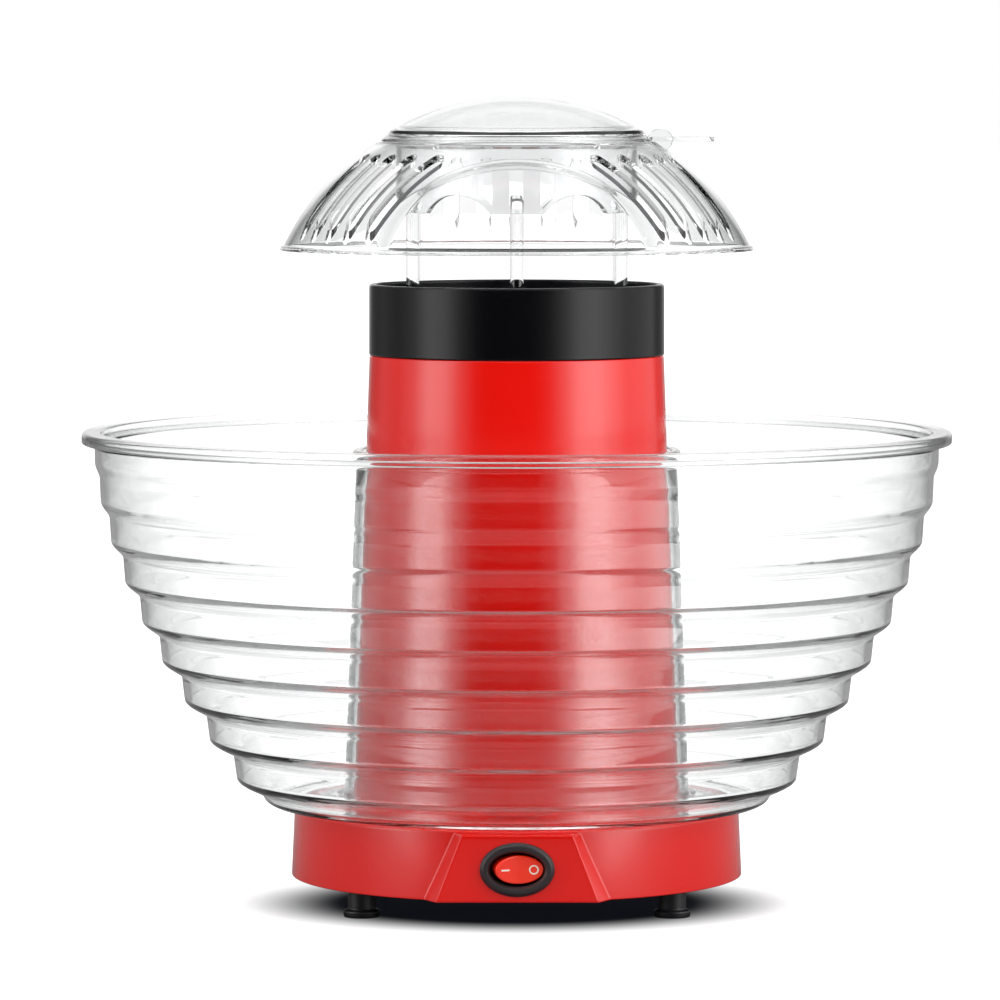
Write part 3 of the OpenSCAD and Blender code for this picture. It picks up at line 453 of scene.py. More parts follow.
def base_surface():
    """The skirt and deck as one closed section carried round the axis; each outer point is pushed out to the
    panel's block where that reaches further. Columns are close together across the panel."""
    sides = np.linspace(-90 + PANEL_ARC, 270 - PANEL_ARC, 190, endpoint=False)
    front = np.linspace(-90 - PANEL_ARC, -90 + PANEL_ARC, PANEL_COLUMNS, endpoint=False)
    angle = np.radians(np.concatenate([front, sides]))
    edge = 1.0
    up = np.linspace(skirt_z + 0.45, deck_z - edge - 0.3, 60)
    skirt = np.stack([skirt_r - (up - skirt_z) / (deck_z - edge - skirt_z) * (skirt_r - deck_r), up], axis=-1)
    low = np.array([
        (skirt_r - BASE_WALL, skirt_z), (skirt_r - 0.9, skirt_z), (skirt_r - 0.45, skirt_z + 0.02),
        (skirt_r - 0.14, skirt_z + 0.14), (skirt_r - 0.02, skirt_z + 0.4)])
    t = np.radians(np.linspace(0, 90, 7))
    corner = np.stack([deck_r - edge + edge * np.cos(t), deck_z - edge + edge * np.sin(t)], axis=-1)
    deck = np.array([
        (deck_r - edge - 0.3, deck_z), (deck_r - 9, deck_z), (LIP_OUT + 0.4, deck_z), (LIP_OUT, deck_z + 0.3),
        (LIP_OUT - 0.05, deck_z + LIP_H - 0.2), (LIP_OUT - 0.3, deck_z + LIP_H),
        (LIP_IN + 0.3, deck_z + LIP_H), (LIP_IN + 0.1, deck_z + LIP_H - 0.2),
        (LIP_IN, deck_z), (DUCT_HOLE + 0.5, deck_z),
        (DUCT_HOLE + 0.1, deck_z - 0.3), (DUCT_HOLE, deck_z - BASE_WALL)])
    under = deck_z - BASE_WALL
    inside = deck_r - BASE_WALL
    inner = np.array([
        (inside - 2, under), (inside - 0.3, under - 0.3), (inside, under - 2),
        (skirt_r - BASE_WALL - 0.02, skirt_z + 2)])
    outline = np.vstack([low, skirt, corner, deck, inner])
    r = np.broadcast_to(outline[:, 0], (len(angle), len(outline))).copy()
    z = np.broadcast_to(outline[:, 1], r.shape)
    a = np.broadcast_to(angle[:, None], r.shape)
    outer = slice(1, len(low) + len(skirt) + len(corner))
    reach = panel_reach(a[:, outer], z[:, outer])
    # the panel's own lower and upper edges are rounded by drawing its reach in a little there
    zz = z[:, outer]
    over = zz - (deck_z - PANEL_DROP)
    trim = 0.5 * np.exp(-((zz - skirt_z) / 0.25)) + 60 * np.clip(over / 1.2, 0, None) ** 1.5
    trim = trim + 0.45 * np.exp(-((-over).clip(0) / 0.25))
    reach = np.where(reach > 0, reach - trim, 0)
    r[:, outer] = np.where(reach > 0, soft_max(r[:, outer], reach, 0.35), r[:, outer])
    return np.stack([r * np.cos(a), r * np.sin(a), z], axis=-1)


def base_shell():
    """The base surface with an oval left out under the switch's flange, where a short sleeve goes."""
    verts, quads = grid(base_surface(), close_rows=True, close_cols=True)
    centre = verts[quads].mean(axis=1)
    hole = ((centre[:, 0] / (SWITCH_A - 1.3)) ** 2 + ((centre[:, 2] - switch_z) / (SWITCH_B - 1.3)) ** 2 < 1)
    hole &= centre[:, 1] < -60
    return verts, quads[~hole]


def oval_sleeve():
    """A closed oval tube just inside the panel's opening, which gives the wall its thickness there."""
    t = np.linspace(0, 2 * np.pi, 120, endpoint=False)
    rings = []
    for inset, depth in ((1.7, 0.05), (1.0, 0.05), (1.0, 3.0), (1.7, 3.0)):
        a, b = SWITCH_A - inset, SWITCH_B - inset
        y = np.full_like(t, depth - PANEL_Y)
        rings.append(np.stack([a * np.cos(t), y, switch_z + b * np.sin(t)], axis=-1))
    return grid(np.array(rings), close_rows=True, close_cols=True)


piece("base_moulding", [base_shell(), oval_sleeve()], "base", ["base_shell"], crease=50)


# ---- Switch ----

def on_panel(x, y, z):
    """Points in the switch's own frame (x along the oval, y up, z out of the panel) in the object's frame."""
    return np.stack(np.broadcast_arrays(x, -PANEL_Y - z, switch_z + y), axis=-1)


def oval_turned(outline, count=144):
    """An outline of (inset, height) carried round the flange's oval: the oval's half axes less the inset."""
    outline = np.asarray(outline, float)
    t = np.linspace(0, 2 * np.pi, count, endpoint=False)[:, None]
    a, b = SWITCH_A - outline[:, 0], SWITCH_B - outline[:, 0]
    points = on_panel(a * np.cos(t), b * np.sin(t), outline[:, 1] + 0 * t)
    return grid(points, close_rows=True, close_cols=True)


FLANGE_T = 2.2
bezel_outline = rounded([
    (0.0, SEAT, 0.1), (0.0, 0.75, 0.35), (1.2, FLANGE_T, 0.9), (2.9, FLANGE_T, 0.5),
    (3.75, FLANGE_T - 1.5, 0.3), (3.9, -11.0, 0), (1.9, -14.0, 0.3), (1.9, SEAT, 0)], 5)


def well_floor():
    """The closed bottom of the switch's well, an oval slab."""
    t = np.linspace(0, 2 * np.pi, 96, endpoint=False)
    rings = [(0.001, -10.9), (SWITCH_A - 2.4, -10.9), (SWITCH_A - 2.4, -13.9), (0.001, -13.9)]
    points = np.array([
        on_panel(a * np.cos(t), max(a - 3.9, 0.001) * np.sin(t), np.full_like(t, z)) for a, z in rings])
    return grid(points, close_rows=False, close_cols=True)


piece("switch_bezel", [oval_turned(bezel_outline), well_floor()], "base", ["switch_housing"])

ROCKER_TILT = math.radians(12)
PIVOT_Z = -2.5
ROCKER_A = SWITCH_A - 3.9 - 0.95
ROCKER_B = SWITCH_B - 3.9 - 0.95


def rocker_frame(x, y, z):
    """The rocker's points tilted about its vertical pivot to the off side, in the object's frame."""
    c, s = math.cos(ROCKER_TILT), math.sin(ROCKER_TILT)
    w = z - PIVOT_Z
    return on_panel(x * c + w * s, y, PIVOT_Z - x * s + w * c)


def rocker_height(x):
    """The face's shallow vee along the oval, with its fold rounded."""
    slope = math.tan(ROCKER_TILT)
    return 0.45 + slope * (np.sqrt(x * x + 1.2 ** 2) - 1.2)


def rocker_shell():
    """Face and skirt of the rocker on an oval grid: q runs from the middle to the rim, then the skirt
    goes down and a flat bottom closes it."""
    t = np.linspace(0, 2 * np.pi, 128, endpoint=False)[None, :]
    q = np.concatenate([np.linspace(0, 0.93, 26), [0.955, 0.975, 0.99, 0.998, 1.0]])[:, None]
    x, y = ROCKER_A * q * np.cos(t), ROCKER_B * q * np.sin(t)
    edge = np.sqrt(np.clip(1 - ((q - 0.93).clip(0) / 0.07) ** 2, 0, 1))
    z = rocker_height(x) - 0.7 * (1 - edge) + 0 * t
    face = rocker_frame(x, y, z)
    depth = np.array([0.15, 0.4, 0.6, 1.0])[:, None]
    x1, y1 = ROCKER_A * np.cos(t), ROCKER_B * np.sin(t)
    z1 = (rocker_height(x1) - 0.7) * (1 - depth) + (PIVOT_Z - 3.0) * depth
    skirt = rocker_frame(x1 + 0 * depth, y1 + 0 * depth, z1)
    q2 = np.array([0.6, 0.0])[:, None]
    bottom = rocker_frame(ROCKER_A * q2 * np.cos(t), ROCKER_B * q2 * np.sin(t), PIVOT_Z - 3.0 + 0 * t * q2)
    return grid(np.concatenate([face, skirt, bottom]), close_cols=True)


def rocker_pin():
    """The pivot pin, a cylinder along the switch's upright direction."""
    t = np.linspace(0, 2 * np.pi, 32, endpoint=False)
    end = ROCKER_B - 0.2
    rows = [(0.001, -end), (0.9, -end), (1.0, -end + 0.1), (1.0, end - 0.1), (0.9, end), (0.001, end)]
    rings = [rocker_frame(r * np.cos(t), np.full_like(t, y), PIVOT_Z + r * np.sin(t)) for r, y in rows]
    return grid(np.array(rings), close_cols=True)


def mark_line(x0, x1, width):
    """A raised bar on the rocker's face, for on."""
    u = np.linspace(-1, 1, 13)
    v = np.linspace(-1, 1, 5)
    x = (x0 + x1) / 2 + (x1 - x0) / 2 * u[:, None] + 0 * v
    y = width / 2 * v[None, :] + 0 * x
    top = rocker_frame(x, y, rocker_height(x) + 0.08)
    under = rocker_frame(x, y, rocker_height(x) - 0.05)
    tp, f = grid(top)
    return shell(tp, under.reshape(-1, 3), [f])


def mark_ring(cx, r, width):
    """A raised circle on the rocker's face, for off."""
    t = np.linspace(0, 2 * np.pi, 48, endpoint=False)[:, None]
    k = np.linspace(-0.5, 0.5, 4)[None, :]
    x, y = cx + (r + width * k) * np.cos(t), (r + width * k) * np.sin(t)
    tp, f = grid(rocker_frame(x, y, rocker_height(x) + 0.08), close_rows=True)
    return shell(tp, rocker_frame(x, y, rocker_height(x) - 0.05).reshape(-1, 3), [f])


piece("rocker_lens", [rocker_shell(), rocker_pin()], "rocker", ["switch_rocker"])
piece("rocker_marks", [mark_line(-7.0, -3.7, 0.55), mark_ring(5.6, 1.55, 0.5)], "rocker")


# ---- Feet ----

def foot_outline(top):
    """Closed outline of a rubber foot: a post on a wider rounded pad with a screw recess from below."""
    return rounded([
        (3.5, 0, 0.3), (6.9, 0, 0.5), (7.1, 2.5, 0.7), (5.4, 3.1, 0.5), (5.3, top - SEAT, 0.2),
        (1.7, top - SEAT, 0.1), (1.7, top / 2, 0), (3.5, top / 2, 0)], 5)


for foot in ("foot_front_left", "foot_front_right", "foot_rear_left", "foot_rear_right"):
    f_low, f_high = low_high(foot)
    middle = (f_low + f_high) / 2
    piece(foot + "_rubber", [turned(foot_outline(skirt_z), 64, middle[:2])], "base", [foot])


# ---- Hood ----

HOOD_Z = hood_low[2]
HOOD_R = 92.1
HOOD_TOP_R = 54.0
HOOD_WALL = 2.2
HOOD_BEND = 93.0
HOOD_HOLE = LEG_CIRCLE - 1.4
COLLAR_R = HOOD_HOLE + 1.8
COLLAR_H = 2.9
HOOD_TOP_Z = hood_high[2] - COLLAR_H
PLATE_LOW = HOOD_TOP_Z - HOOD_WALL
ARCH_HALF = 53.5
ARCH_H = 36.0
SLOT_W = 6.0
SLOTS = 5
# each group of slots: the way its slots point in degrees, how far to one side its middle lies, and its pitch
SLOT_GROUPS = ((201.5, 20.1, SLOT_W + 4.4), (338.5, -20.1, SLOT_W + 4.4), (90.0, 0.0, SLOT_W + 7.1))


def bend_centre(p, q, r):
    """Centre of the circle of radius r through p and q that bulges away from the axis."""
    p, q = np.array(p), np.array(q)
    m, d = (p + q) / 2, q - p
    half = np.linalg.norm(d) / 2
    n = np.array([-d[1], d[0]]) / (2 * half)
    return m + n * math.sqrt(r * r - half * half)


HOOD_C = bend_centre((HOOD_R, HOOD_Z), (HOOD_TOP_R, HOOD_TOP_Z), HOOD_BEND)


def hood_height(r, bend):
    """Height of the hood's arc of radius bend at radius r."""
    return HOOD_C[1] + np.sqrt(np.clip(bend ** 2 - (r - HOOD_C[0]) ** 2, 0, None))


def hood_radius(z):
    return HOOD_C[0] + math.sqrt(HOOD_BEND ** 2 - (z - HOOD_C[1]) ** 2)


slot_inner = hood_radius(HOOD_TOP_Z - 4.5) + SLOT_W / 2
slot_outer = hood_radius(HOOD_Z + 8.5) - SLOT_W / 2


def slot_gap(x, y):
    """Signed distance in plan to the nearest vent slot or the handle's notch, and the way out of it. Slots
    are capsules along three directions; the distance to a capsule is the distance to its middle line less
    its radius."""
    best = np.full(x.shape, 1e9)
    out = np.zeros(x.shape + (2,))
    for degrees, middle, pitch in SLOT_GROUPS:
        g = math.radians(degrees)
        u = x * math.cos(g) + y * math.sin(g)
        s = -x * math.sin(g) + y * math.cos(g)
        for i in range(SLOTS):
            c = middle + (i - (SLOTS - 1) / 2) * pitch
            u0, u1 = math.sqrt(slot_inner ** 2 - c * c), math.sqrt(slot_outer ** 2 - c * c)
            du = u - np.clip(u, u0, u1)
            ds = s - c
            far = np.hypot(du, ds)
            d = far - SLOT_W / 2
            near = d < best
            best = np.where(near, d, best)
            far = np.maximum(far, 1e-6)
            gx = (du * math.cos(g) - ds * math.sin(g)) / far
            gy = (du * math.sin(g) + ds * math.cos(g)) / far
            out[near] = np.stack([gx, gy], axis=-1)[near]
    # notch for the handle's web: a box in plan
    x0, x1, hw = COLLAR_R + 0.6, 61.6, 2.1
    qx = np.abs(x - (x0 + x1) / 2) - (x1 - x0) / 2
    qy = np.abs(y) - hw
    d = np.where((qx < 0) & (qy < 0), np.maximum(qx, qy), np.hypot(qx.clip(0), qy.clip(0)))
    use_x = (qx > qy)
    gx = np.where(use_x, np.sign(x - (x0 + x1) / 2), 0.0)
    gy = np.where(use_x, 0.0, np.sign(y))
    both = (qx > 0) & (qy > 0)
    length = np.maximum(np.hypot(qx, qy), 1e-6)
    gx = np.where(both, np.sign(x - (x0 + x1) / 2) * qx / length, gx)
    gy = np.where(both, np.sign(y) * qy / length, gy)
    near = d < best
    best = np.where(near, d, best)
    out[near] = np.stack([gx, gy], axis=-1)[near]
    return best, out


def arch_depth(x, y, z):
    """How far each point is sunk by the three arched panels: a ramp 3.4 mm wide down to 1.1 mm."""
    sunk = np.zeros(x.shape)
    for g in np.radians([-90.0, 30.0, 150.0]):
        side = -x * math.sin(g) + y * math.cos(g)
        front = x * math.cos(g) + y * math.sin(g)
        level = np.hypot(side / ARCH_HALF, (z - HOOD_Z + 2) / (ARCH_H + 2))
        inward = (1 - level) * 0.5 * (ARCH_HALF + ARCH_H)
        ramp = np.clip(inward / 3.4, 0, 1)
        ramp = ramp * ramp * (3 - 2 * ramp)
        sunk = np.maximum(sunk, np.where(front > 0, 1.1 * ramp, 0))
    return sunk


def hood_shell():
    """The hood as a height over its plan: outer and inner surfaces on one polar grid, so that every
    opening is cut straight down, and the inner surface stops at the rim's plane."""
    t = np.linspace(0, 1, 62)
    a0 = math.atan2(HOOD_Z + 2.0 - HOOD_C[1], hood_radius(HOOD_Z + 2.0) - HOOD_C[0])
    a1 = math.atan2(HOOD_TOP_Z - HOOD_C[1], HOOD_TOP_R - HOOD_C[0])
    arc_r = HOOD_C[0] + HOOD_BEND * np.cos(a0 + (a1 - a0) * t)
    rim_r = hood_high[0]
    rim = rim_r - np.array([0.15, 0, 0, 0.15, 0.55])
    plate = HOOD_TOP_R - np.array([0.6, 1, 2.5, 4, 5.5])
    collar = [COLLAR_R + 0.35, COLLAR_R + 0.08, COLLAR_R, COLLAR_R, COLLAR_R - 0.3]
    hole = [HOOD_HOLE + 0.3, HOOD_HOLE]
    r = np.concatenate([rim, arc_r, plate, collar, hole])
    rim_z = HOOD_Z + np.array([0, 0.15, 1.1, 1.5, 1.75])
    collar_z = HOOD_TOP_Z + np.array([0, 0.1, 0.4, COLLAR_H - 0.3, COLLAR_H, COLLAR_H, COLLAR_H - 0.3])
    kind = np.concatenate([rim_z, hood_height(arc_r, HOOD_BEND), [HOOD_TOP_Z] * 5, collar_z])
    turns = 640
    a = np.linspace(0, 2 * np.pi, turns, endpoint=False)
    x, y = r[:, None] * np.cos(a), r[:, None] * np.sin(a)
    z = np.broadcast_to(kind[:, None], x.shape).copy()
    gap, out = slot_gap(x, y)
    arc = np.zeros(len(r), bool)
    arc[4:5 + len(arc_r)] = True

    def move(points, snap):
        points = points.copy()
        px = points[..., 0] - np.where(snap, gap * out[..., 0], 0)
        py = points[..., 1] - np.where(snap, gap * out[..., 1], 0)
        rr = np.hypot(px, py)
        pz = points[..., 2]
        pz = np.where(snap & arc[:, None] & (rr >= HOOD_TOP_R), hood_height(rr, HOOD_BEND), pz)
        pz = np.where(snap & (rr < HOOD_TOP_R), HOOD_TOP_Z, pz)
        return np.stack([px, py, pz], axis=-1)

    _, quads = grid(np.stack([x, y, z], axis=-1), close_cols=True)
    points, faces = cut_out(np.stack([x, y, z], axis=-1), quads, gap, move)
    top = points.reshape(-1, 3)
    rr = np.hypot(top[:, 0], top[:, 1])
    under_z = np.minimum(hood_height(rr, HOOD_BEND - HOOD_WALL), PLATE_LOW)
    under_z = np.where(rr > HOOD_C[0] + HOOD_BEND - HOOD_WALL - 0.02, HOOD_Z, under_z)
    under = top.copy()
    under[:, 2] = np.minimum(np.maximum(under_z, HOOD_Z), top[:, 2])
    sunk = arch_depth(top[:, 0], top[:, 1], top[:, 2])
    slope = (rr - HOOD_C[0]) / HOOD_BEND
    inward = np.where(rr > HOOD_TOP_R, sunk, 0)
    n_r = np.clip(slope, 0, 1)
    n_z = np.sqrt(1 - n_r ** 2)
    fade = np.clip((top[:, 2] - HOOD_Z - 1.75) / 0.8, 0, 1)
    inward = inward * fade
    scale = 1 - inward * n_r / np.maximum(rr, 1)
    top[:, 0] *= scale
    top[:, 1] *= scale
    top[:, 2] -= inward * n_z
    used = np.unique(np.concatenate([f.reshape(-1) for f in faces]))
    verts, faces = shell(top, under, faces)
    keep = np.concatenate([used, used + len(top)])
    index = np.full(len(verts), -1)
    index[keep] = np.arange(len(keep))
    return verts[keep], [index[f] for f in faces]


piece("hood_moulding", [hood_shell()], "hood", ["hood"], crease=42)

CAGE_IN = LEG_CIRCLE - 1.4
CAGE_OUT = LEG_CIRCLE + 0.8
CAGE_Z = ring_top_z + 28.0
CAGE_TOP = PLATE_LOW - SEAT
LEG_R = 2.5
SCALLOP_CHORD = 28.0
SCALLOP_RISE = 7.0
scallop_r = ((SCALLOP_CHORD / 2) ** 2 + SCALLOP_RISE ** 2) / (2 * SCALLOP_RISE)


def cage_collar():
    """A thin upright collar whose lower edge rises in six circular scallops: at distance d along the
    collar from a scallop's middle the edge is at the circle's height there, or at the flat."""
    a = np.linspace(0, 2 * np.pi, 720, endpoint=False)
    middle = (np.degrees(a) + 30) % 60 - 30
    d = np.radians(middle) * (CAGE_IN + CAGE_OUT) / 2
    arch = CAGE_Z + SCALLOP_RISE - scallop_r + np.sqrt(np.clip(scallop_r ** 2 - d ** 2, 0, None))
    low = np.maximum(CAGE_Z, np.where(np.abs(d) < SCALLOP_CHORD / 2, arch, CAGE_Z))
    section = [(CAGE_IN + 0.3, 0.0), (CAGE_OUT - 0.3, 0.0), (CAGE_OUT - 0.08, 0.08), (CAGE_OUT, 0.3)]
    section += [(CAGE_OUT, k) for k in (2.0, 6.0, 12.0)]
    rows = [(r, low + k) for r, k in section]
    rows += [(CAGE_OUT, np.full_like(a, CAGE_TOP)), (CAGE_IN, np.full_like(a, CAGE_TOP))]
    rows += [(CAGE_IN, low + k) for k in (12.0, 6.0, 2.0, 0.3)] + [(CAGE_IN + 0.08, low + 0.08)]
    rings = [np.stack([r * np.cos(a), r * np.sin(a), np.minimum(z, CAGE_TOP)], axis=-1) for r, z in rows]
    return grid(np.array(rings), close_rows=True, close_cols=True)


LEG_Z = cage_low[2]
leg_outline = [
    (0.001, LEG_Z), (LEG_R - 0.9, LEG_Z), (LEG_R - 0.25, LEG_Z + 0.25), (LEG_R, LEG_Z + 0.9),
    (LEG_R, LEG_Z + 1.4), (LEG_R, CAGE_Z - 0.4), (LEG_R, CAGE_Z + 5.0), (LEG_R - 0.5, CAGE_Z + 5.8),
    (0.001, CAGE_Z + 6.0)]
piece("cage_moulding",
      [cage_collar()] + [turned(leg_outline, 48, c, closed=False) for c in leg_centres],
      "hood", ["hood_cage"], crease=42)


# ---- Measuring cup ----

CUP_WALL = 1.6
BRIM_R = HOOD_TOP_R - 1.2
BRIM_H = 4.85
CUP_DOME_H = 12.8
CUP_R = BRIM_R - 4.8
HANDLE_T = 1.7
WEB_X = BRIM_R + 3.2
CUP_Z = HOOD_TOP_Z + SEAT
HANDLE_TIP = cup_high[0]


def cup_outline():
    """Closed outline of the cup turned upside down: flared brim, then a spherical dome of even thickness."""
    ball = (CUP_R ** 2 + CUP_DOME_H ** 2) / (2 * CUP_DOME_H)
    cz = CUP_Z + BRIM_H + CUP_DOME_H - ball
    edge = math.acos(CUP_R / ball)
    t = np.linspace(edge + 0.012, math.pi / 2, 40)
    dome = np.stack([ball * np.cos(t), cz + ball * np.sin(t)], axis=-1)
    ins = np.stack([(ball - CUP_WALL) * np.cos(t[::-1]), cz + (ball - CUP_WALL) * np.sin(t[::-1])], axis=-1)
    ins = ins[1:-1]
    brim = rounded([
        (BRIM_R - CUP_WALL - 0.6, CUP_Z, 0.2), (BRIM_R, CUP_Z, 0.3), (BRIM_R, CUP_Z + 0.9, 0.35),
        (CUP_R + 2.6, CUP_Z + 2.5, 0.8), (CUP_R + 1.2, CUP_Z + BRIM_H - 0.5, 0.4),
        (CUP_R, CUP_Z + BRIM_H + 0.15, 0.3)], 4)
    brim = brim[:-1]
    inner_brim = [
        (CUP_R - 1.2, CUP_Z + BRIM_H - 1.6), (CUP_R + 0.6, CUP_Z + 2.4),
        (BRIM_R - CUP_WALL - 2.4, CUP_Z + 1.0)]
    dome[-1, 0] = 0.0
    return np.vstack([brim, dome, [(0.0, dome[-1, 1] - CUP_WALL)], ins, inner_brim])


def handle_shell():
    """The flat handle: a strip narrowing to a round tip, with a low rib round its edge. Across it v runs
    from side to side, along it u runs outwards; the half width follows the taper and then a half circle."""
    tip_r = 5.5
    x0, x1 = BRIM_R - 1.0, HANDLE_TIP
    u = np.concatenate([np.linspace(0, 0.75, 24), 1 - 0.25 * (1 - np.linspace(0, 1, 22)[1:]) ** 2])
    x = x0 + (x1 - x0) * u
    straight = 7.0 + (tip_r - 7.0) * (x - x0) / (x1 - tip_r - x0)
    cap = np.sqrt(np.clip(tip_r ** 2 - (x - (x1 - tip_r)).clip(0) ** 2, 0, None))
    half = np.where(x > x1 - tip_r, cap, straight)
    v = np.concatenate([[-1, -0.97, -0.9, -0.86], np.linspace(-0.8, 0.8, 9), [0.86, 0.9, 0.97, 1]])
    rib = np.array([0, 0.25, 0.25, 0.05] + [0] * 9 + [0.05, 0.25, 0.25, 0])
    xx = x[:, None] + 0 * v
    yy = half[:, None] * v
    top = np.stack([xx, yy, CUP_Z + 0.1 + HANDLE_T - 0.25 + rib[None, :] + 0 * xx], axis=-1)
    under = top.copy()
    under[..., 2] = CUP_Z + 0.1
    tp, f = grid(top)
    return shell(tp, under.reshape(-1, 3), [f])


def web_shell():
    """The thick bead under the handle's root: a rounded octagon, 3 mm thick, standing on edge."""
    t = np.linspace(0, 2 * np.pi, 64, endpoint=False)
    k = 6
    shape = (np.abs(np.cos(t)) ** k + np.abs(np.sin(t)) ** k + np.abs(np.cos(t + np.pi / 4)) ** k
             + np.abs(np.sin(t + np.pi / 4)) ** k) ** (-1 / k)
    shape = shape / shape.max()
    rows = [(0.001, -1.5), (0.94, -1.5), (1.0, -1.2), (1.0, 1.2), (0.94, 1.5), (0.001, 1.5)]
    x, z = 4.9 * shape * np.cos(t), 4.3 * shape * np.sin(t)
    rings = [np.stack([WEB_X + q * x, np.full_like(t, y), CUP_Z + 0.8 + q * z], axis=-1) for q, y in rows]
    return grid(np.array(rings), close_cols=True)


piece("cup_moulding", [turned(cup_outline(), 224), handle_shell(), web_shell()], "cup",
      ["measuring_cup"], crease=42)


# ---- Materials ----

def colour(code, alpha=1.0):
    """An sRGB hex code as linear red, green, blue and alpha."""
    c = np.array([int(code[k:k + 2], 16) for k in (1, 3, 5)]) / 255
    c = np.where(c <= 0.04045, c / 12.92, ((c + 0.055) / 1.055) ** 2.4)
    return (*c.tolist(), alpha)


def add(tree, kind, settings=None, **links):
    """Adds a node of a kind, sets its properties and input values, and links inputs to other sockets."""
    node = tree.nodes.new(kind)
    for key, value in (settings or {}).items():
        if hasattr(node, key):
            setattr(node, key, value)
        else:
            node.inputs[key].default_value = value
    for key, socket in links.items():
        tree.links.new(socket, node.inputs[key.replace("_", " ")])
    return node


def finish_of(name, **settings):
    """A new material with a Principled shader that has the settings on its own sockets."""
    material = bpy.data.materials.new(name)
    material.use_nodes = True
    tree = material.node_tree
    shader = tree.nodes["Principled BSDF"]
    for key, value in settings.items():
        shader.inputs[key.replace("_", " ")].default_value = value
    return material, tree, shader


def skin(tree, shader, grain_mm, depth, rough, spread, tint=None, tint_amount=0.0, stretch=(1, 1, 1)):
    """Gives a shader a moulded or rolled surface: noise of a grain size in millimetres drives bump of a
    depth in metres, slower noise drives roughness from rough to rough + spread and, with a tint, a slow
    change of colour."""
    place = add(tree, "ShaderNodeTexCoord")
    turn = add(tree, "ShaderNodeMapping", {"Scale": stretch}, Vector=place.outputs["Object"])
    fine = add(tree, "ShaderNodeTexNoise", {"Scale": 1000 / grain_mm, "Detail": 3.0},
               Vector=turn.outputs["Vector"])
    slow = add(tree, "ShaderNodeTexNoise", {"Scale": 22.0, "Detail": 4.0}, Vector=place.outputs["Object"])
    level = add(tree, "ShaderNodeMapRange", {"To Min": rough, "To Max": rough + spread},
                Value=slow.outputs["Fac"])
    tree.links.new(level.outputs["Result"], shader.inputs["Roughness"])
    bump = add(tree, "ShaderNodeBump", {"Strength": 1.0, "Distance": depth}, Height=fine.outputs["Fac"])
    tree.links.new(bump.outputs["Normal"], shader.inputs["Normal"])
    if tint:
        mix = add(tree, "ShaderNodeMix", {"data_type": "RGBA"})
        mix.inputs[6].default_value = shader.inputs["Base Color"].default_value
        mix.inputs[7].default_value = colour(tint)
        part = add(tree, "ShaderNodeMapRange", {"From Min": 0.4, "From Max": 0.75, "To Max": tint_amount},
                   Value=slow.outputs["Fac"])
        tree.links.new(part.outputs["Result"], mix.inputs[0])
        tree.links.new(mix.outputs[2], shader.inputs["Base Color"])


def red_abs():
    # gloss moulded ABS: deep even red under a hard mirror-like skin with a faint long-wave ripple
    m, t, s = finish_of("gloss_moulded_abs_red", Base_Color=colour("#DF130B"), IOR=1.5, Coat_Weight=0.3,
                        Coat_Roughness=0.08)
    skin(t, s, 14.0, 0.00001, 0.14, 0.05, "#D9120B", 0.4)
    return m


def black_pbt():
    # gloss moulded PBT: near-black with a satin gloss that spreads highlights a little
    m, t, s = finish_of("gloss_moulded_pbt_black", Base_Color=colour("#08080A"), IOR=1.5)
    s.inputs["Specular IOR Level"].default_value = 0.25
    skin(t, s, 9.0, 0.00001, 0.16, 0.05, "#0C0C0E", 0.5)
    return m


def black_pp():
    # moulded polypropylene with a fine spark-eroded texture: grain 0.4 mm, matt sheen
    m, t, s = finish_of("textured_moulded_polypropylene", Base_Color=colour("#1C1C1E"), IOR=1.49)
    skin(t, s, 0.8, 0.00003, 0.42, 0.15, "#2A2A2C", 0.5)
    return m


def foot_rubber():
    # moulded nitrile rubber: black, slightly shiny where the mould was polished, dusty variation
    m, t, s = finish_of("moulded_nitrile_rubber", Base_Color=colour("#08080A"), IOR=1.5)
    skin(t, s, 1.2, 0.00002, 0.28, 0.2, "#26262A", 0.6)
    return m


def clear_ps():
    # clear moulded polystyrene: water-clear, high index, polished skin with a slight flow ripple
    m, t, s = finish_of("clear_moulded_polystyrene", Base_Color=colour("#FCFDFD"), IOR=1.52,
                        Transmission_Weight=1.0, Roughness=0.01)
    place = add(t, "ShaderNodeTexCoord")
    flow = add(t, "ShaderNodeTexNoise", {"Scale": 45.0, "Detail": 2.0}, Vector=place.outputs["Object"])
    bump = add(t, "ShaderNodeBump", {"Strength": 1.0, "Distance": 0.00004}, Height=flow.outputs["Fac"])
    t.links.new(bump.outputs["Normal"], s.inputs["Normal"])
    ray = add(t, "ShaderNodeLightPath")
    clear = add(t, "ShaderNodeBsdfTransparent", {"Color": colour("#F2F5F5")})
    mix = add(t, "ShaderNodeMixShader")
    t.links.new(ray.outputs["Is Shadow Ray"], mix.inputs[0])
    t.links.new(s.outputs[0], mix.inputs[1])
    t.links.new(clear.outputs[0], mix.inputs[2])
    t.links.new(mix.outputs[0], t.nodes["Material Output"].inputs["Surface"])
    return m


def rocker_pc():
    # tinted polycarbonate lens: orange-red with light scattered inside it
    m, t, s = finish_of("tinted_polycarbonate_lens", Base_Color=colour("#F5260A"), IOR=1.58,
                        Subsurface_Weight=0.35, Subsurface_Radius=(0.004, 0.0008, 0.0003),
                        Coat_Weight=0.5, Coat_Roughness=0.05)
    skin(t, s, 2.5, 0.00001, 0.12, 0.06, "#FF4A12", 0.5)
    return m


def metal(name, code, grain, rough, spread, depth=0.00002, stretch=(1, 1, 1), tint=None, metallic=1.0):
    m, t, s = finish_of(name, Base_Color=colour(code), Metallic=metallic)
    skin(t, s, grain, depth, rough, spread, tint, 0.5 if tint else 0.0, stretch)
    return m


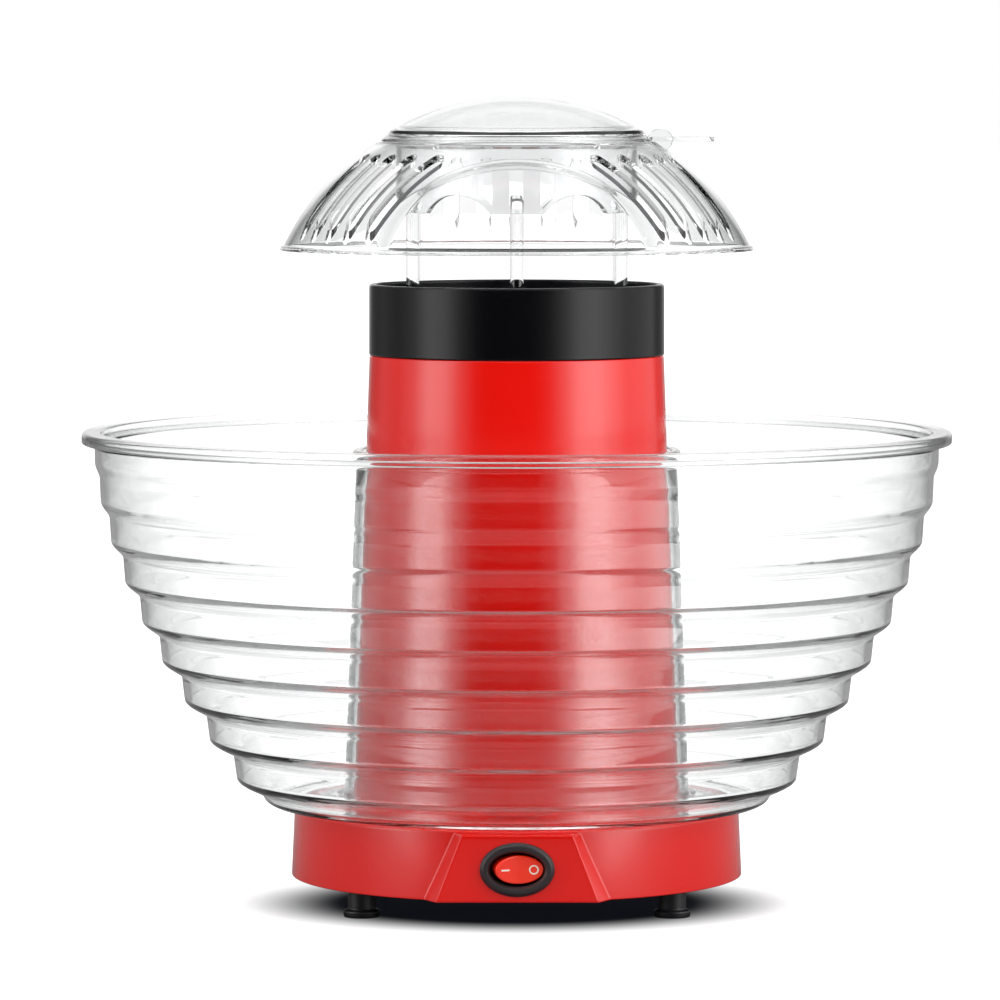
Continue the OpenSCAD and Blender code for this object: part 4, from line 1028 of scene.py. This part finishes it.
def plain(name, code, grain, rough, spread, tint, depth=0.00002, ior=1.5):
    m, t, s = finish_of(name, Base_Color=colour(code), IOR=ior)
    skin(t, s, grain, depth, rough, spread, tint, 0.6)
    return m


FINISHES = {
    "red_abs": red_abs(),
    "black_pbt": black_pbt(),
    "black_pp": black_pp(),
    "foot_rubber": foot_rubber(),
    "clear_ps": clear_ps(),
    "rocker_pc": rocker_pc(),
    # moulded nylon bezel: dark warm grey with a satin top highlight
    "bezel_nylon": plain("moulded_nylon_charcoal", "#2B2528", 0.9, 0.3, 0.12, "#37302F"),
    # zinc plated steel: bluish bright, slightly cloudy
    "zinc_steel": metal("zinc_plated_steel", "#C3C6CA", 1.5, 0.25, 0.15, tint="#A9ADB4"),
    # spun aluminium: fine rings left by the spinning tool, 0.6 mm apart up the wall
    "chamber_aluminium": metal("spun_aluminium", "#D4D5D6", 2.4, 0.28, 0.12, 0.00003, (0.05, 0.05, 4.0),
                               "#BDBEC0"),
    # galvanised sheet: spangle a few millimetres across
    "duct_steel": metal("galvanised_sheet", "#A4A8AC", 5.0, 0.35, 0.2, tint="#8C9095"),
    "motor_steel": metal("zinc_plated_motor_can", "#9DA1A5", 2.0, 0.3, 0.15, tint="#868A90"),
    "shaft_steel": metal("ground_steel", "#D0D2D4", 0.5, 0.15, 0.08, 0.00001),
    "fan_aluminium": metal("pressed_aluminium_sheet", "#B9BCBF", 1.6, 0.3, 0.15, tint="#A2A5A9"),
    # sintered bronze: porous, warm and dull
    "bronze": metal("sintered_bronze", "#B58A4A", 0.6, 0.4, 0.15, 0.00004, tint="#8C6A38"),
    "terminal_brass": metal("rolled_brass", "#C9A14E", 1.2, 0.25, 0.12, 0.00001, tint="#A8823A"),
    # resistance wire: oxidised to a brown grey by heat
    "heater_wire": metal("oxidised_resistance_wire", "#77706A", 0.8, 0.45, 0.2, 0.00003, tint="#4F433A"),
    # pressed mica: flaky amber-grey layers with a pearly gloss
    "mica": plain("pressed_mica_sheet", "#B7A27C", 3.0, 0.3, 0.3, "#8E7A57", 0.00005),
    "gasket_silicone": plain("moulded_silicone", "#8A2E20", 2.0, 0.45, 0.15, "#772419"),
    "thermostat_body": plain("phenolic_moulding", "#3A2E27", 1.5, 0.35, 0.15, "#2B221D"),
    "fuse_ceramic": plain("glazed_ceramic", "#DAD4C4", 2.5, 0.15, 0.1, "#C9C1AC"),
    "board_laminate": plain("solder_masked_laminate", "#1F5A33", 1.0, 0.25, 0.15, "#17462A"),
    "diode_epoxy": plain("moulded_epoxy", "#151515", 0.8, 0.4, 0.15, "#222222"),
    "block_nylon": plain("moulded_nylon_natural", "#F1EDE2", 1.5, 0.3, 0.15, "#E4DDCB"),
    "wire_blue": plain("silicone_insulation_blue", "#2A5FAE", 1.5, 0.4, 0.15, "#224F93"),
    "wire_brown": plain("silicone_insulation_brown", "#7A3B22", 1.5, 0.4, 0.15, "#65301B"),
    "wire_black": plain("silicone_insulation_black", "#1C1C1E", 1.5, 0.4, 0.15, "#2A2A2D"),
}

slot_of = {s["node"]: s["material_slot"] for s in frame["record"]["subparts"]}
for node, obj in frame["nodes"].items():
    if not obj.material_slots:
        obj.data.materials.append(None)
    for k in range(len(obj.material_slots)):
        obj.material_slots[k].material = FINISHES[slot_of[node]]
for obj in bpy.data.objects:
    if obj.type == "MESH" and "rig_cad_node" not in obj:
        obj.data.materials.append(FINISHES[{
            "bowl_moulding": "clear_ps", "hood_moulding": "clear_ps", "cage_moulding": "clear_ps",
            "cup_moulding": "clear_ps", "tower_moulding": "red_abs", "base_moulding": "red_abs",
            "ring_moulding": "black_pbt", "switch_bezel": "bezel_nylon", "rocker_lens": "rocker_pc",
            "rocker_marks": "block_nylon"}.get(obj.name, "foot_rubber")])


# ---- Studio ----

def ramp(tree, socket, stops, low, high, top=1.0):
    """A ramp of grey levels over a value from low to high; levels are stored as shares of top and
    multiplied back after."""
    place = add(tree, "ShaderNodeMapRange", {"From Min": low, "From Max": high}, Value=socket)
    node = add(tree, "ShaderNodeValToRGB", None, Fac=place.outputs["Result"])
    line = node.color_ramp
    while len(line.elements) < len(stops):
        line.elements.new(0.5)
    for element, (at, level) in zip(line.elements, stops):
        element.position = (at - low) / (high - low)
        element.color = (level / top,) * 3 + (1.0,)
    out = add(tree, "ShaderNodeMath", {"operation": "MULTIPLY"})
    tree.links.new(node.outputs["Color"], out.inputs[0])
    out.inputs[1].default_value = top
    return out.outputs[0]


def join(tree, operation, a, b):
    """Two values through one arithmetic node."""
    node = add(tree, "ShaderNodeMath", {"operation": operation})
    for k, v in enumerate((a, b)):
        if isinstance(v, (int, float)):
            node.inputs[k].default_value = v
        else:
            tree.links.new(v, node.inputs[k])
    return node.outputs[0]


def straight_sight(tree, ray):
    """One for a ray that left the camera and has only gone through clear pieces, without a bounce."""
    bounces = join(tree, "ADD", ray.outputs["Diffuse Depth"], ray.outputs["Glossy Depth"])
    unbounced = join(tree, "LESS_THAN", bounces, 0.5)
    through = join(tree, "MULTIPLY", ray.outputs["Is Transmission Ray"], unbounced)
    return join(tree, "MAXIMUM", ray.outputs["Is Camera Ray"], through)


# where the floor's painted contact shade is darkest and where it ends, as radii in metres
SHADE_CORE, SHADE_EDGE = 0.068, 0.122


def floor_piece():
    """A pale floor that runs back from just in front of the object, with a soft dark patch of contact
    shadow painted into its emitted and base colours."""
    mesh = bpy.data.meshes.new("studio_floor")
    mesh.from_pydata([(-1.2, -0.42, 0), (1.2, -0.42, 0), (4, 30, 0), (-4, 30, 0)], [], [(0, 1, 2, 3)])
    mesh.update()
    obj = bpy.data.objects.new("studio_floor", mesh)
    bpy.context.scene.collection.objects.link(obj)
    m, t, s = finish_of("matt_white_paper", Base_Color=colour("#808080"), Roughness=0.9)
    s.inputs["Specular IOR Level"].default_value = 0.1
    place = add(t, "ShaderNodeTexCoord")
    oval = add(t, "ShaderNodeMapping", {"Location": (0, 0.012, 0), "Scale": (1.0, 1.22, 0.0)},
               Vector=place.outputs["Object"])
    far = add(t, "ShaderNodeVectorMath", {"operation": "LENGTH"}, Vector=oval.outputs["Vector"])
    shade = add(t, "ShaderNodeMapRange", {"interpolation_type": "SMOOTHSTEP", "From Min": SHADE_CORE,
                                          "From Max": SHADE_EDGE}, Value=far.outputs["Value"])
    # painted contact shadow: towards the object the floor's emitted colour and its base colour both go dark
    tone = add(t, "ShaderNodeMix", {"data_type": "RGBA"})
    tone.inputs[6].default_value = colour("#0A0C12")
    tone.inputs[7].default_value = (1, 1, 1, 1)
    t.links.new(shade.outputs["Result"], tone.inputs[0])
    dull = add(t, "ShaderNodeMix", {"data_type": "RGBA"})
    dull.inputs[6].default_value = colour("#0A0C12")
    dull.inputs[7].default_value = colour("#8C8C8C")
    t.links.new(shade.outputs["Result"], dull.inputs[0])
    t.links.new(dull.outputs[2], s.inputs["Base Color"])
    t.links.new(tone.outputs[2], s.inputs["Emission Color"])
    ray = add(t, "ShaderNodeLightPath")
    t.links.new(straight_sight(t, ray), s.inputs["Emission Strength"])
    obj.data.materials.append(m)
    return obj


floor_piece()

# Light round the object, as radiance against the direction's bearing from the front, in degrees; left is
# negative. Two tall soft boxes stand at the front's sides, with a white backdrop behind and black in front.
BEARING = [
    (-180, 1.0), (-168, 1.0), (-158, 0.15), (-140, 0.15), (-126, 0.35), (-104, 0.4), (-87, 1.0), (-72, 3.2),
    (-58, 2.8), (-45, 0.85), (-33, 0.1), (-24, 0.0), (14, 0.0), (26, 0.27), (38, 1.4), (50, 3.45), (64, 3.85),
    (78, 2.4), (94, 1.1), (112, 0.9), (130, 0.7), (140, 0.15), (158, 0.15), (168, 1.0), (180, 1.0)]
# Share of that light against the direction's height (sine of elevation), and what a clear piece shows
# behind it
HEIGHT = [(-1.0, 0.05), (-0.6, 0.1), (-0.45, 1.0), (0.6, 1.0), (0.75, 0.2), (1.0, 0.2)]
BEHIND = [(-1.0, 0.85), (-0.6, 0.85), (-0.2, 1.0), (0.2, 1.0), (0.6, 0.85), (1.0, 0.8)]
# What light that has been turned round inside a clear piece finds above and below
INSIDE = [(-1.0, 0.7), (-0.5, 0.55), (-0.25, 0.0), (0.25, 0.0), (0.5, 0.55), (1.0, 0.7)]
OVERHEAD = [(0.5, 0.0), (0.75, 0.9), (1.0, 1.3)]

world = bpy.data.worlds.new("studio")
bpy.context.scene.world = world
world.use_nodes = True
wt = world.node_tree
back = wt.nodes["Background"]
direction = add(wt, "ShaderNodeTexCoord")
xyz = add(wt, "ShaderNodeSeparateXYZ", None, Vector=direction.outputs["Generated"])
bearing = join(wt, "ARCTAN2", xyz.outputs["X"], join(wt, "MULTIPLY", xyz.outputs["Y"], -1.0))
bearing = join(wt, "MULTIPLY", bearing, 180 / math.pi)
up = xyz.outputs["Z"]
boxes = join(wt, "MULTIPLY", ramp(wt, bearing, BEARING, -180, 180, 4.0), ramp(wt, up, HEIGHT, -1, 1))
lit = join(wt, "ADD", boxes, ramp(wt, up, OVERHEAD, 0, 1, 2.0))
path = add(wt, "ShaderNodeLightPath")
behind = join(wt, "MAXIMUM", path.outputs["Is Camera Ray"], ramp(wt, up, BEHIND, -1, 1))
inside = join(wt, "MULTIPLY", path.outputs["Is Transmission Ray"], ramp(wt, up, INSIDE, -1, 1))
lit = join(wt, "MAXIMUM", lit, inside)
seen = straight_sight(wt, path)
unseen = join(wt, "SUBTRACT", 1.0, seen)
strength = join(wt, "ADD", join(wt, "MULTIPLY", lit, unseen), join(wt, "MULTIPLY", behind, seen))
wt.links.new(strength, back.inputs["Strength"])
back.inputs["Color"].default_value = (1, 1, 1, 1)

fill = bpy.data.lights.new("front_fill", "AREA")
fill.shape = "RECTANGLE"
fill.size, fill.size_y = 1.2, 0.9
fill.energy = 11
fill_obj = bpy.data.objects.new("front_fill", fill)
bpy.context.scene.collection.objects.link(fill_obj)
fill_obj.location = (0, -2.0, 0.9)
fill_obj.rotation_euler = (math.radians(70), 0, 0)
fill_obj.visible_glossy = False
fill_obj.visible_transmission = False

camera = bpy.data.cameras.new("camera")
camera.lens = 217.8
camera.sensor_width = 36
camera.clip_end = 100
camera_obj = bpy.data.objects.new("camera", camera)
bpy.context.scene.collection.objects.link(camera_obj)
camera_obj.location = (-0.00653, -2.36503, 0.31703)
camera_obj.rotation_euler = (math.radians(90 - 3.860), 0, 0)
bpy.context.scene.camera = camera_obj

bpy.context.scene.view_settings.view_transform = "Standard"
# Light is turned round many times inside the clear pieces' walls before it leaves them
paths = bpy.context.scene.cycles
paths.max_bounces, paths.glossy_bounces, paths.transmission_bounces = 24, 16, 24
